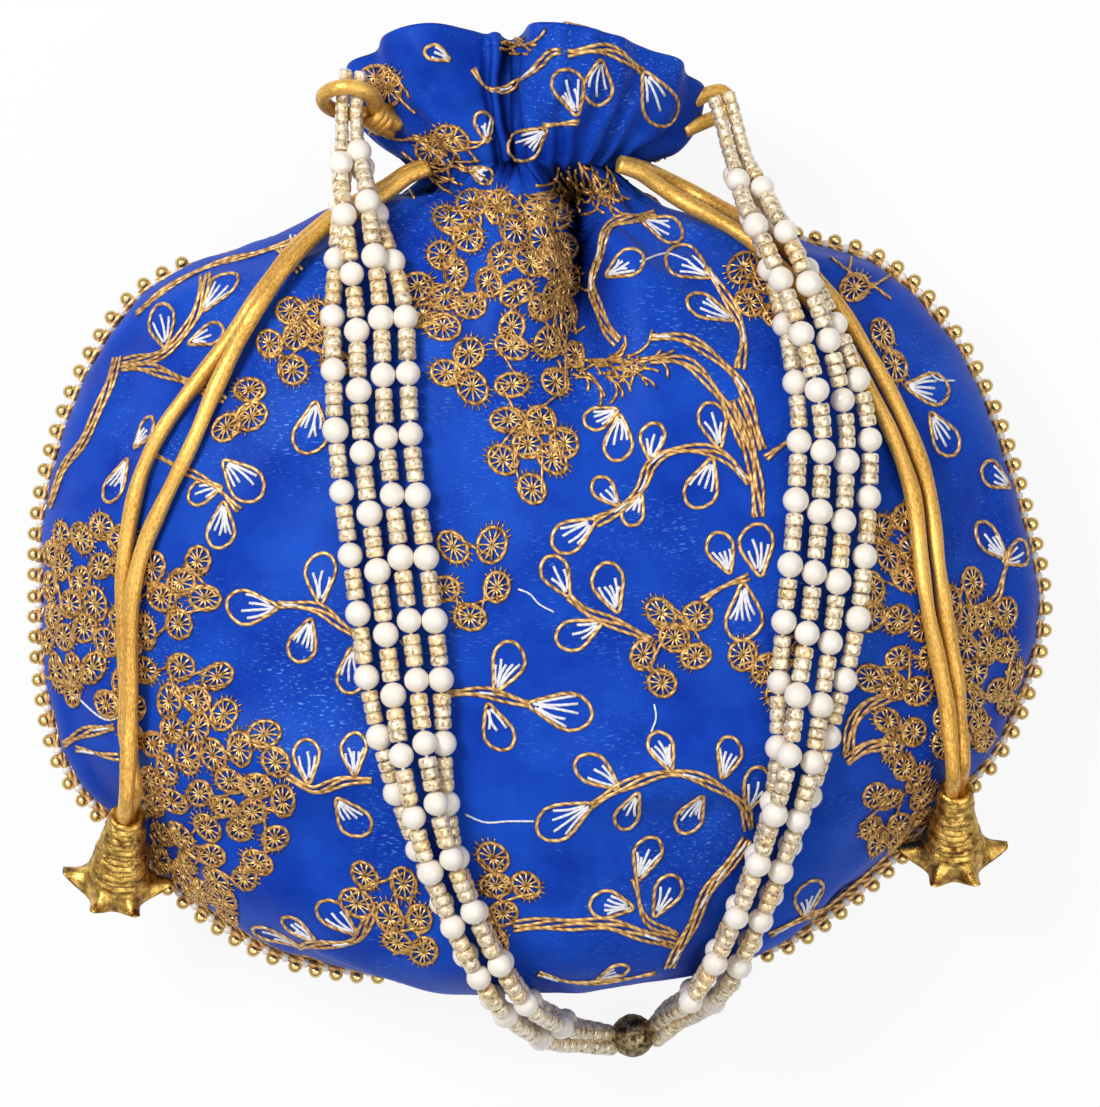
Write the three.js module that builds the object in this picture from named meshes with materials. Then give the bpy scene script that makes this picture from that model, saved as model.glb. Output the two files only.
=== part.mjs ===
import * as THREE from 'three';

// A drawstring pouch of embroidered satin with a beaded handle, drawn shut and stuffed, lying on its back.
// Millimetres. X runs across the pouch, Y from its foot to its mouth and Z up from the table.
// The origin is on the table, under the middle of the pouch's widest line.

// Driving dimensions of the pouch
const SEAM_HEIGHT = 30;
const FRONT_RISE = 49;
const BACK_DROP = 39;
const FRONT_FULLNESS = 1.1;
const BACK_FULLNESS = 0.9;
const FOOT_OVERHANG = 7;
const OVERHANG_HEIGHT = 14;
const CLOTH = 1.6;

// Driving dimensions of the neck and the ruffle above it
const NECK_X = -4;
const NECK_Y = 96;
const NECK_HEIGHT = 37;
const NECK_HALF_WIDTH = 20;
const NECK_HALF_DEPTH = 15;
const RUFFLE_HALF_WIDTH = 40.5;
const RUFFLE_HALF_DEPTH = 26;
const RUFFLE_SIDE_RISE = 21;
const RUFFLE_FRONT_RISE = 33;

// Driving dimensions of the trim, the cords and the beads
const BALL_DIAMETER = 3.2;
const BALL_PITCH = 4.6;
const BRAID_WIDTH = 3.4;
const BRAID_THICKNESS = 1.6;
const CORD_DIAMETER = 4;
const LOOP_CORD_DIAMETER = 3.4;
const PEARL_DIAMETER = 6;
const SEED_DIAMETER = 4;
const PEARL_PITCH = 13.3;
const STRAND_SPACING = 5.4;
const END_SPACING = 3.3;
const END_DIAMETER = 2.9;
const SPACER_DIAMETER = 10.4;
const SPACER_LENGTH = 9.2;
const CONE_LENGTH = 26;
const CONE_TOP_DIAMETER = 7.4;
const CONE_BODY_DIAMETER = 12;
const CONE_RIM_DIAMETER = 22;
const CONE_POINTS = 5;
const CONE_RIB_HEIGHT = 0.5;
const CONE_SKIRT = 5.2;
const CONE_LIP = 1.2;
const CONE_CURL = 2;
const CONE_DISH = 6;

// Gap between pieces that touch
const CLEARANCE = 0.3;
// How far a draped cord lies above the faceted cloth
const LAY_GAP = 0.9;

// Seam stations from the foot to the neck: left edge, right edge, seam height above SEAM_HEIGHT, and the
// front and back depths as shares of FRONT_RISE and BACK_DROP
const STATIONS = [
  { left: [-3, -80], right: [-3, -80], lift: -4, front: 0, back: 0 },
  { left: [-23, -81.5], right: [19, -80.5], lift: -4, front: 0.34, back: 0.3 },
  { left: [-43, -82], right: [37, -79.5], lift: -4, front: 0.52, back: 0.48 },
  { left: [-61.5, -77.5], right: [54, -76], lift: -3, front: 0.67, back: 0.62 },
  { left: [-78.5, -66.5], right: [70, -64.5], lift: -2, front: 0.81, back: 0.75 },
  { left: [-94.5, -50.5], right: [87, -48], lift: -1, front: 0.9, back: 0.86 },
  { left: [-106, -36.5], right: [100.5, -33.5], lift: 0, front: 0.95, back: 0.93 },
  { left: [-110.5, -18], right: [108, -16.5], lift: 0, front: 0.98, back: 0.98 },
  { left: [-111.5, 2.5], right: [110.5, 0], lift: 0, front: 1, back: 1 },
  { left: [-110.5, 22.5], right: [106, 21.5], lift: 0, front: 0.98, back: 0.99 },
  { left: [-104.5, 43.5], right: [98, 45.5], lift: 0, front: 0.93, back: 0.94 },
  { left: [-94.5, 62], right: [87, 64], lift: 0, front: 0.84, back: 0.85 },
  { left: [-83, 71.5], right: [74, 75], lift: 1, front: 0.75, back: 0.75 },
  { left: [-63.5, 78], right: [56, 79.5], lift: 2, front: 0.65, back: 0.64 },
  { left: [-46, 85.5], right: [37, 84.5], lift: 4, front: 0.53, back: 0.53 },
  { left: [-32, 91], right: [24.5, 90.5], lift: 6, front: 0.41, back: 0.44 },
];

// Stations of the two upper ends of the trim
const TRIM_TOP_LEFT = 13.2;
const TRIM_TOP_RIGHT = 13.8;

// Folds that run down from the neck: start, end, half width, and depth into the cloth at the start
const FRONT_FOLDS = [
  { from: [7.5, 96], to: [13, 38], width: 5.5, depth: 11 },
  { from: [-6, 96], to: [-3, 52], width: 10, depth: -4.5 },
  { from: [-24, 95], to: [-31, 58], width: 5.5, depth: 6.5 },
  { from: [-15, 96], to: [-19, 66], width: 3, depth: 3 },
  { from: [-1, 96], to: [2, 74], width: 2.6, depth: 3 },
  { from: [15, 95], to: [24, 60], width: 5, depth: -2.5 },
  { from: [19, 94], to: [37, 66], width: 4, depth: 3.5 },
  { from: [-24, 92], to: [-62, 66], width: 6, depth: 2.5 },
];
const BACK_FOLDS = [
  { from: [-18, 95], to: [-34, 50], width: 5, depth: 5 },
  { from: [-9, 96], to: [-12, 62], width: 4, depth: 4 },
  { from: [1, 96], to: [5, 48], width: 5, depth: 6 },
  { from: [12, 95], to: [26, 58], width: 4.5, depth: 4 },
];

// Folds of the ruffle: angle round the neck from the right side, half width in degrees, depth at the rim
const RUFFLE_FOLDS = [
  { at: 22, width: 8, depth: 3.5 },
  { at: 50, width: 8, depth: 4.5 },
  { at: 94, width: 9, depth: 11 },
  { at: 122, width: 7, depth: 2.5 },
  { at: 150, width: 9, depth: 5.5 },
  { at: 198, width: 9, depth: 6 },
  { at: 228, width: 8, depth: 6 },
  { at: 258, width: 8, depth: 7 },
  { at: 290, width: 8, depth: 6 },
  { at: 322, width: 9, depth: 6 },
  { at: 350, width: 7, depth: 3 },
];

// Plan routes of the four drawstring ends, from the neck to the metal cones
const DRAWSTRING_ROUTES = {
  drawstring_left_a: [
    [-30, 96], [-34, 93.5], [-40, 90.5], [-47.5, 87], [-56, 80.5], [-63.5, 71], [-71, 59.5], [-79.5, 46],
    [-86, 36], [-90, 24.5], [-92, 13.5], [-92.8, 3], [-93, -10], [-93.2, -22], [-93.5, -34],
  ],
  drawstring_left_b: [
    [-29.5, 95], [-33.5, 91], [-39, 87.5], [-45.5, 84], [-52.5, 77.5], [-59, 68.5], [-65, 59], [-71, 47],
    [-75.5, 35], [-81, 23], [-86, 12], [-88.5, 2], [-89, -10], [-89, -22], [-89.5, -34],
  ],
  drawstring_right_a: [
    [22.5, 96.5], [27, 95], [33, 92], [40.5, 88], [49, 84], [56, 80], [64, 71.5], [71, 63], [77, 54],
    [82, 44], [85.5, 34], [87.5, 25], [88.5, 13], [89.5, 2], [91, -9], [92.5, -19], [93.2, -28],
  ],
  drawstring_right_b: [
    [22, 95.5], [26.5, 92], [31.5, 88.8], [38.5, 85], [46.5, 80.5], [52.5, 76.5], [59.5, 68.5], [66, 59.5],
    [72, 50.5], [77, 41], [80.5, 32], [82.5, 23.5], [83.6, 12], [84.7, 1], [86.3, -10], [87.9, -20],
    [89.2, -28],
  ],
};
const DRAWSTRING_START_HEIGHT = 40;
const DRAWSTRING_LEAD = 8;

// The cones at the cord ends: middle of the top face and a point that the axis runs towards
const CONES = {
  left: { top: [-93.4, -49.2, 52], towards: [-97.4, -65.4, 34.5] },
  right: { top: [92.8, -43, 50.5], towards: [93.8, -60.5, 32.5] },
};

// Plan routes of the middle of the handle's two legs, from each cord loop to the spacer bead
const HANDLE_ROUTES = {
  left: [
    [-41.5, 117], [-42.5, 110], [-42.3, 100], [-41, 89], [-39.5, 78], [-37.8, 65], [-37, 50], [-36.4, 37],
    [-35, 24], [-33.2, 11], [-31.4, -2], [-29.8, -15], [-28.2, -27.5], [-26, -40.5], [-22.6, -54],
    [-17.9, -66.5], [-12.6, -78], [-5, -90.5], [4, -98.5], [11.5, -101.8],
  ],
  right: [
    [39.5, 116], [41.5, 108], [43.5, 99], [47, 88], [52, 77], [57, 64.5], [61, 51.5], [63.5, 38],
    [63.2, 24.5], [61.8, 8.5], [60, -7], [57.7, -21.5], [55.5, -36], [52.3, -49], [48, -62.5],
    [43.5, -74], [38.8, -84.5], [33.5, -92.5], [28, -97.5],
  ],
};
const SPACER_PLACE = [21, -101.5];
const SPACER_TURN = 10;
const LOOP_HEIGHTS = { left: 50, right: 42 };
const LOOP_SEATS = { left: 158, right: 2 };
const LOOP_TILT = 35;
const LOOP_SPACING = 4;
const LOOP_BELOW_TOP = 7;
// Places of the strands in the row of four, the two outer ones laid first, and the shift of their pearls.
// In the loops the two inner strands lie over the two outer ones
const STRANDS = [
  { side: -1.5, phase: 0 },
  { side: 1.5, phase: 0.5 },
  { side: -0.5, phase: 0.5 },
  { side: 0.5, phase: 0 },
];
const FAN_LENGTH = 20;
const BEAD_FAN_LENGTH = 14;
const BEAD_LEAD = 2;

// How a cord lies: the run between its points, the passes that ease it over steps, and its steepest fall,
// which is a near drop past FOOT_SHARE of a handle leg
const LAY_STEP = 1.6;
const EASING = 14;
const HANGING_STEEPNESS = 1.2;
const FOOT_STEEPNESS = 4.5;
const FOOT_SHARE = 0.7;

// Grid of cloth heights that the cords are let down onto
const GRID_STEP = 1;
const GRID_REACH = 140;
const GRID_COUNT = (2 * GRID_REACH) / GRID_STEP + 1;

// Facets
const POUCH_COLUMNS = 76;
const CORD_SIDES = 8;
const DRAWSTRING_STEP = 7.2;
const STRAND_SIDES = 6;
const CONE_COLUMNS = 20;
const CONE_RIBS = 4;
const SPACER_COLUMNS = 16;
const LOOP_TURNS = 12;
const SEAM_STEP = 0.1;
const BALL_LINE_POINTS = 500;

const deg = Math.PI / 180;
const smooth = (value) => THREE.MathUtils.smoothstep(value, 0, 1);
const bell = (distance, width) => Math.exp(-((distance / width) ** 2));

// Value of a list of numbers at a fractional index, on a smooth curve through them
function along(values, position) {
  const last = values.length - 1;
  const index = Math.min(Math.max(Math.floor(position), 0), last - 1);
  const step = position - index;
  const before = values[Math.max(index - 1, 0)];
  const a = values[index];
  const b = values[index + 1];
  const after = values[Math.min(index + 2, last)];
  const slopeA = (b - before) / 2;
  const slopeB = (after - a) / 2;
  const cube = 2 * (a - b) + slopeA + slopeB;
  const square = 3 * (b - a) - 2 * slopeA - slopeB;
  return ((cube * step + square) * step + slopeA) * step + a;
}

// Closed surface through equal rings of points, ended by a fan at each end
function loft(rings, start, end) {
  const count = rings[0].length;
  const points = [start, ...rings.flat(), end];
  const faces = [];
  const at = (ring, column) => 1 + ring * count + (column % count);
  for (let column = 0; column < count; column += 1) {
    faces.push(0, at(0, column + 1), at(0, column));
    faces.push(points.length - 1, at(rings.length - 1, column), at(rings.length - 1, column + 1));
    for (let ring = 0; ring + 1 < rings.length; ring += 1) {
      const a = at(ring, column);
      const b = at(ring, column + 1);
      const c = at(ring + 1, column + 1);
      const d = at(ring + 1, column);
      faces.push(a, b, c, a, c, d);
    }
  }
  let volume = 0;
  for (let face = 0; face < faces.length; face += 3) {
    const [a, b, c] = [points[faces[face]], points[faces[face + 1]], points[faces[face + 2]]];
    volume += a.dot(new THREE.Vector3().crossVectors(b, c));
  }
  const geometry = new THREE.BufferGeometry().setFromPoints(points);
  geometry.setIndex(volume > 0 ? faces : faces.reverse());
  geometry.computeVertexNormals();
  return geometry;
}

const middle = (ring) => ring.reduce((sum, point) => sum.add(point), new THREE.Vector3())
  .divideScalar(ring.length);

// Depth of a set of folds at a place on the cloth
function foldDepth(folds, x, y) {
  let depth = 0;
  for (const fold of folds) {
    const start = new THREE.Vector2(...fold.from);
    const run = new THREE.Vector2(...fold.to).sub(start);
    const share = new THREE.Vector2(x, y).sub(start).dot(run) / run.lengthSq();
    const held = THREE.MathUtils.clamp(share, 0, 1);
    const nearest = start.clone().addScaledVector(run, held);
    const distance = nearest.distanceTo(new THREE.Vector2(x, y));
    depth += fold.depth * (1 - smooth(held)) * bell(distance, fold.width * (1 + held));
  }
  return depth;
}

// A point of the stuffed body, at a station and an angle round the section from the right edge
function bodyPoint(station, angle) {
  const read = (pick) => along(STATIONS.map(pick), station);
  const left = new THREE.Vector2(read((s) => s.left[0]), read((s) => s.left[1]));
  const right = new THREE.Vector2(read((s) => s.right[0]), read((s) => s.right[1]));
  const place = left.lerp(right, (1 + Math.cos(angle)) / 2);
  const seam = SEAM_HEIGHT + read((s) => s.lift);
  const rise = Math.sin(angle);
  const swell = Math.abs(rise);
  if (rise < 0) {
    const drop = BACK_DROP * read((s) => s.back) * swell ** BACK_FULLNESS;
    const fold = foldDepth(BACK_FOLDS, place.x, place.y) * swell;
    return new THREE.Vector3(place.x, place.y, Math.max(seam - drop + fold, 0));
  }
  const lift = FRONT_RISE * read((s) => s.front) * swell ** FRONT_FULLNESS;
  const fold = foldDepth(FRONT_FOLDS, place.x, place.y) * swell;
  const aboveTrim = (lift - BALL_DIAMETER) / OVERHANG_HEIGHT;
  const overhang = FOOT_OVERHANG * smooth(aboveTrim) * (1 - smooth(station / 5));
  return new THREE.Vector3(place.x, place.y - overhang, seam + lift - fold);
}

// A point of the ruffle, from the neck at 0 to the rim at 1, on the outer cloth or inset from it
function rufflePoint(share, angle, inset) {
  const cos = Math.cos(angle);
  const swell = Math.abs(Math.sin(angle));
  const open = Math.sin(share * Math.PI / 2);
  let fold = 0;
  for (const { at, width, depth } of RUFFLE_FOLDS) {
    const apart = Math.abs(THREE.MathUtils.euclideanModulo(angle / deg - at + 180, 360) - 180);
    fold += depth * bell(apart, width);
  }
  const inward = inset + fold * (0.3 + 0.7 * share);
  const halfWidth = THREE.MathUtils.lerp(NECK_HALF_WIDTH, RUFFLE_HALF_WIDTH, open) - inward;
  const halfDepth = THREE.MathUtils.lerp(NECK_HALF_DEPTH, RUFFLE_HALF_DEPTH, open) - inward;
  const sideRise = RUFFLE_SIDE_RISE * share ** 1.6;
  const frontRise = RUFFLE_FRONT_RISE * share;
  const rise = THREE.MathUtils.lerp(sideRise, frontRise, swell ** 0.8) - 0.25 * fold * share;
  return new THREE.Vector3(
    NECK_X + halfWidth * cos, NECK_Y + rise, NECK_HEIGHT + halfDepth * Math.sin(angle));
}

function pouchGeometry() {
  const angles = Array.from({ length: POUCH_COLUMNS }, (_, i) => (i * 2 * Math.PI) / POUCH_COLUMNS);
  const bodyStations = [0.3, 0.65, 1, 1.5, 2, 3, 4, 5, 6, 7, 8, 9, 10, 11, 11.6, 12.2, 12.8, 13.4, 14, 14.5];
  bodyStations.push(STATIONS.length - 1);
  const outer = [0, 0.2, 0.4, 0.6, 0.8, 0.95];
  const inner = [0.95, 0.75, 0.5, 0.25];
  const rings = [
    ...bodyStations.map((station) => angles.map((angle) => bodyPoint(station, angle))),
    ...outer.map((share) => angles.map((angle) => rufflePoint(share, angle, 0))),
    angles.map((angle) => rufflePoint(1, angle, CLOTH / 2)),
    ...inner.map((share) => angles.map((angle) => rufflePoint(share, angle, CLOTH))),
  ];
  const foot = bodyPoint(0, 0);
  const closure = middle(rings[rings.length - 1]).setY(NECK_Y + CLOTH);
  return loft(rings, foot, closure);
}

// The line that the seam follows, from high on the left edge round the foot to high on the right edge
function seamLine() {
  const line = [];
  for (let station = TRIM_TOP_LEFT; station > SEAM_STEP; station -= SEAM_STEP) {
    line.push(bodyPoint(station, Math.PI));
  }
  for (let station = 0; station < TRIM_TOP_RIGHT; station += SEAM_STEP) {
    line.push(bodyPoint(station, 0));
  }
  return new THREE.CatmullRomCurve3(line, false, 'centripetal');
}

// A braid along the seam with a gold ball at each pitch on its outer edge
function trimGeometry(seam) {
  const balls = Math.round(seam.getLength() / BALL_PITCH);
  const steps = balls * 2;
  seam.arcLengthDivisions = steps * 4;
  seam.updateArcLengths();
  const up = new THREE.Vector3(0, 0, 1);
  const rings = [];
  for (let step = 0; step <= steps; step += 1) {
    const place = seam.getPointAt(step / steps);
    const outward = seam.getTangentAt(step / steps).cross(up).setZ(0).normalize();
    const half = BRAID_THICKNESS / 2;
    const centre = CLEARANCE + BRAID_WIDTH;
    const ball = BALL_DIAMETER / 2;
    const section = step % 2 === 1
      ? [[CLEARANCE, half], [centre, ball], [centre + ball, 0], [centre, -ball], [CLEARANCE, -half]]
      : [[CLEARANCE, half], [centre - half, half], [centre, 0], [centre - half, -half], [CLEARANCE, -half]];
    rings.push(section.map(([out, height]) => place.clone()
      .addScaledVector(outward, out).addScaledVector(up, height)));
  }
  return loft(rings, middle(rings[0]), middle(rings[rings.length - 1]));
}

const pouch = pouchGeometry();
const seam = seamLine();
const pouchTarget = new THREE.Mesh(pouch, new THREE.MeshBasicMaterial({ side: THREE.DoubleSide }));

// Height of the upper side of the pouch over a square grid of the table
const clothHeight = new Float32Array(GRID_COUNT ** 2);

function readHeights() {
  const place = pouch.attributes.position;
  const index = pouch.index.array;
  const corners = [new THREE.Vector3(), new THREE.Vector3(), new THREE.Vector3()];
  const weights = new THREE.Vector3();
  const low = (...values) => Math.ceil((Math.min(...values) + GRID_REACH) / GRID_STEP);
  const high = (...values) => Math.floor((Math.max(...values) + GRID_REACH) / GRID_STEP);
  const point = new THREE.Vector3();
  for (let face = 0; face < index.length; face += 3) {
    const heights = corners.map((corner, i) => {
      corner.fromBufferAttribute(place, index[face + i]);
      const height = corner.z;
      corner.z = 0;
      return height;
    });
    const [a, b, c] = corners;
    for (let row = low(a.y, b.y, c.y); row <= high(a.y, b.y, c.y); row += 1) {
      for (let column = low(a.x, b.x, c.x); column <= high(a.x, b.x, c.x); column += 1) {
        point.set(column * GRID_STEP - GRID_REACH, row * GRID_STEP - GRID_REACH, 0);
        const inside = THREE.Triangle.getBarycoord(point, a, b, c, weights);
        if (inside && Math.min(...weights.toArray()) >= 0) {
          const height = weights.dot(new THREE.Vector3(...heights));
          const cell = row * GRID_COUNT + column;
          clothHeight[cell] = Math.max(clothHeight[cell], height);
        }
      }
    }
  }
}

// Height of the middle of a ball that is let down onto the pouch and onto the cords laid so far
const laid = [];

function restHeight(x, y, radius, cordRadius) {
  let height = radius;
  const reach = Math.ceil(radius / GRID_STEP);
  const column = Math.round((x + GRID_REACH) / GRID_STEP);
  const row = Math.round((y + GRID_REACH) / GRID_STEP);
  for (let i = row - reach; i <= row + reach; i += 1) {
    for (let j = column - reach; j <= column + reach; j += 1) {
      const apart = Math.hypot(j * GRID_STEP - GRID_REACH - x, i * GRID_STEP - GRID_REACH - y);
      const cloth = clothHeight[i * GRID_COUNT + j];
      if (apart < radius && cloth > 0) {
        height = Math.max(height, cloth + Math.sqrt(radius ** 2 - apart ** 2));
      }
    }
  }
  for (const point of laid) {
    const touch = cordRadius + point.radius;
    const apart = Math.hypot(point.x - x, point.y - y);
    if (apart < touch) {
      height = Math.max(height, point.z + Math.sqrt(touch ** 2 - apart ** 2));
    }
  }
  return height + LAY_GAP;
}

function lay(points, radiusAt) {
  points.forEach((point, i) => laid.push({ x: point.x, y: point.y, z: point.z, radius: radiusAt(i) }));
}

// A cord let down along plan points: it lies on what is under it and eases over steps and gaps
function drape(plan, restAt, steepestAt) {
  const last = plan.length - 1;
  const rest = plan.map(restAt);
  const height = [...rest];
  for (let i = 1; i <= last; i += 1) {
    height[i] = Math.max(height[i], height[i - 1] - steepestAt(i) * LAY_STEP);
  }
  for (let i = last - 1; i >= 0; i -= 1) {
    height[i] = Math.max(height[i], height[i + 1] - steepestAt(i) * LAY_STEP);
  }
  for (let pass = 0; pass < EASING; pass += 1) {
    for (let i = 1; i < last; i += 1) {
      height[i] = Math.max(rest[i], (height[i - 1] + height[i + 1]) / 2);
    }
  }
  return plan.map((point, i) => new THREE.Vector3(point.x, point.y, height[i]));
}

function planPoints(route) {
  const points = route.map(([x, y]) => new THREE.Vector3(x, y, 0));
  const curve = new THREE.CatmullRomCurve3(points, false, 'centripetal');
  return curve.getSpacedPoints(Math.ceil(curve.getLength() / LAY_STEP));
}

function cordGeometry(points, diameter, step) {
  const path = new THREE.CatmullRomCurve3(points, false, 'centripetal');
  const section = new THREE.Shape();
  for (let side = 0; side < CORD_SIDES; side += 1) {
    const angle = (side * 2 * Math.PI) / CORD_SIDES;
    const corner = [(Math.cos(angle) * diameter) / 2, (Math.sin(angle) * diameter) / 2];
    if (side === 0) {
      section.moveTo(...corner);
    } else {
      section.lineTo(...corner);
    }
  }
  section.closePath();
  const steps = Math.ceil(path.getLength() / step);
  return new THREE.ExtrudeGeometry(section, { steps, extrudePath: path, bevelEnabled: false });
}

const coneAxis = ({ top, towards }) => new THREE.Vector3(...towards)
  .sub(new THREE.Vector3(...top)).normalize();

// A ribbed metal cone with a star-shaped lip curled outwards and a dished underside
function coneGeometry(cone) {
  const axis = coneAxis(cone);
  const top = cone.top;
  const side = new THREE.Vector3(1, 0, 0).cross(axis).normalize();
  const across = axis.clone().cross(side);
  const ring = (depth, radius, star, curl) => Array.from({ length: CONE_COLUMNS }, (_, i) => {
    const angle = (i * 2 * Math.PI) / CONE_COLUMNS;
    const point = 0.5 + 0.5 * Math.cos(angle * CONE_POINTS);
    const reach = radius + star * point;
    return new THREE.Vector3(...top)
      .addScaledVector(axis, depth - curl * point)
      .addScaledVector(side, reach * Math.cos(angle))
      .addScaledVector(across, reach * Math.sin(angle));
  });
  const topRadius = CONE_TOP_DIAMETER / 2;
  const bodyRadius = CONE_BODY_DIAMETER / 2;
  const star = CONE_RIM_DIAMETER / 2 - bodyRadius - CONE_LIP;
  const bodyLength = CONE_LENGTH - CONE_SKIRT;
  const rings = [];
  for (let rib = 0; rib <= CONE_RIBS; rib += 1) {
    const share = rib / CONE_RIBS;
    const radius = THREE.MathUtils.lerp(topRadius, bodyRadius, share ** 1.3);
    rings.push(ring(bodyLength * share, radius, 0, 0));
    if (rib < CONE_RIBS) {
      rings.push(ring(bodyLength * (share + 0.5 / CONE_RIBS), radius + CONE_RIB_HEIGHT, 0, 0));
    }
  }
  rings.push(ring(CONE_LENGTH - CONE_LIP, bodyRadius + CONE_LIP, star, CONE_CURL));
  rings.push(ring(CONE_LENGTH, bodyRadius + CONE_LIP / 2, star, CONE_CURL));
  rings.push(ring(CONE_LENGTH - CONE_CURL, bodyRadius - CONE_LIP, 0, 0));
  const centre = new THREE.Vector3(...top);
  return loft(rings, centre, centre.clone().addScaledVector(axis, CONE_LENGTH - CONE_DISH));
}

// A bead of antique metal, waisted at its two ends
function spacerGeometry(centre, axis) {
  const profile = [[0, 0.3], [0.06, 0.62], [0.2, 0.9], [0.5, 1], [0.8, 0.9], [0.94, 0.62], [1, 0.3]];
  const across = new THREE.Vector3(0, 0, 1);
  const side = axis.clone().cross(across).normalize();
  const rings = profile.map(([share, swell]) => Array.from({ length: SPACER_COLUMNS }, (_, i) => {
    const angle = (i * 2 * Math.PI) / SPACER_COLUMNS;
    const radius = (swell * SPACER_DIAMETER) / 2;
    return centre.clone().addScaledVector(axis, (share - 0.5) * SPACER_LENGTH)
      .addScaledVector(side, radius * Math.cos(angle))
      .addScaledVector(across, radius * Math.sin(angle));
  }));
  return loft(rings, middle(rings[0]), middle(rings[rings.length - 1]));
}

// A string of seed beads with a pearl at each mark, thinner where it enters a loop or the spacer
function strandGeometry(points, marks) {
  const path = new THREE.CatmullRomCurve3(points, false, 'centripetal');
  path.arcLengthDivisions = (points.length - 1) * 8;
  const lengths = path.getLengths();
  const length = lengths[lengths.length - 1];
  const stops = [[0, END_DIAMETER], [length, END_DIAMETER]];
  stops.push([LOOP_BELOW_TOP * 2, END_DIAMETER], [length - BEAD_FAN_LENGTH * 0.7, END_DIAMETER]);
  const half = Math.sqrt(PEARL_DIAMETER ** 2 - SEED_DIAMETER ** 2) / 2 + CLEARANCE;
  for (const mark of marks) {
    const at = lengths[Math.round(mark * 8)];
    stops.push([at - half, SEED_DIAMETER], [at, PEARL_DIAMETER], [at + half, SEED_DIAMETER]);
  }
  stops.sort((a, b) => a[0] - b[0]);
  const rings = stops.map(([distance, diameter]) => {
    const centre = path.getPointAt(distance / length);
    const tangent = path.getTangentAt(distance / length);
    const side = tangent.clone().cross(new THREE.Vector3(0, 0, 1)).normalize();
    const across = side.clone().cross(tangent);
    return Array.from({ length: STRAND_SIDES }, (_, i) => {
      const angle = (i * 2 * Math.PI) / STRAND_SIDES;
      return centre.clone().addScaledVector(side, (Math.cos(angle) * diameter) / 2)
        .addScaledVector(across, (Math.sin(angle) * diameter) / 2);
    });
  });
  return loft(rings, middle(rings[0]), middle(rings[rings.length - 1]));
}

const spacerCentre = new THREE.Vector3(...SPACER_PLACE, SPACER_DIAMETER / 2 + CLEARANCE);
const spacerAxis = new THREE.Vector3(Math.cos(SPACER_TURN * deg), Math.sin(SPACER_TURN * deg), 0);

// The four strands of one leg, in a row that narrows at both ends, two over two where the loop holds them.
// Each is given as its points and the places of its pearls, as indexes into them
function strandLines(side) {
  const plan = planPoints(HANDLE_ROUTES[side]);
  const last = plan.length - 1;
  const loopEnd = Math.round((2 * LOOP_BELOW_TOP) / LAY_STEP);
  const steepest = (i) => (i > last * FOOT_SHARE ? FOOT_STEEPNESS : HANGING_STEEPNESS);
  const spread = (i) => smooth(((i - loopEnd) * LAY_STEP) / FAN_LENGTH);
  const narrow = (i) => smooth(1 - ((last - i) * LAY_STEP) / BEAD_FAN_LENGTH);
  const full = (i) => smooth(((i - loopEnd) * LAY_STEP) / (FAN_LENGTH / 2)) * (1 - narrow(i));
  const thickness = (i, run) => THREE.MathUtils.lerp(END_DIAMETER, run, full(i)) / 2;
  const bundle = END_SPACING / Math.SQRT2 + END_DIAMETER / 2 + LOOP_CORD_DIAMETER + CLEARANCE;
  const legRest = (point, i) => {
    const radius = i < loopEnd ? bundle : PEARL_DIAMETER / 2;
    return Math.max(restHeight(point.x, point.y, radius, radius), i < loopEnd ? LOOP_HEIGHTS[side] : 0);
  };
  const leg = drape(plan, legRest, steepest);
  const beadSide = side === 'left' ? -1 : 1;
  const faceDistance = SPACER_LENGTH / 2 + CLEARANCE;
  const beadFace = spacerCentre.clone().addScaledVector(spacerAxis, beadSide * faceDistance);
  const beadAcross = spacerAxis.clone().cross(new THREE.Vector3(0, 0, 1)).multiplyScalar(-beadSide);
  return STRANDS.map((strand) => {
    const over = Math.abs(strand.side) < 1 ? 0.5 : -0.5;
    const inLoop = Math.sign(strand.side) * END_SPACING / 2;
    const inRow = strand.side * STRAND_SPACING;
    const line = plan.map((point, i) => {
      const ahead = plan[Math.min(i + 1, last)].clone().sub(plan[Math.max(i - 1, 0)]).normalize();
      const across = ahead.cross(new THREE.Vector3(0, 0, 1));
      const open = THREE.MathUtils.lerp(inLoop, inRow, spread(i));
      const aside = THREE.MathUtils.lerp(open, strand.side * END_SPACING, narrow(i));
      return point.clone().addScaledVector(across, aside);
    });
    const rest = (point, i) => {
      const radius = thickness(i, PEARL_DIAMETER);
      return i < loopEnd ? leg[i].z + over * END_SPACING
        : restHeight(point.x, point.y, radius + CLEARANCE, radius);
    };
    const draped = drape(line, rest, steepest);
    lay(draped, (i) => thickness(i, SEED_DIAMETER));
    const end = beadFace.clone().addScaledVector(beadAcross, strand.side * END_SPACING);
    const points = draped.slice(0, -2);
    points.push(end.clone().addScaledVector(spacerAxis, beadSide * BEAD_LEAD), end);
    const marks = [];
    let run = 0;
    let next = 2 * LOOP_BELOW_TOP + FAN_LENGTH / 2 + strand.phase * PEARL_PITCH;
    for (let i = 1; (last - i) * LAY_STEP > BEAD_FAN_LENGTH; i += 1) {
      run += leg[i].distanceTo(leg[i - 1]);
      if (run >= next) {
        marks.push(i);
        next += PEARL_PITCH;
      }
    }
    return { points, marks };
  });
}

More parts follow.
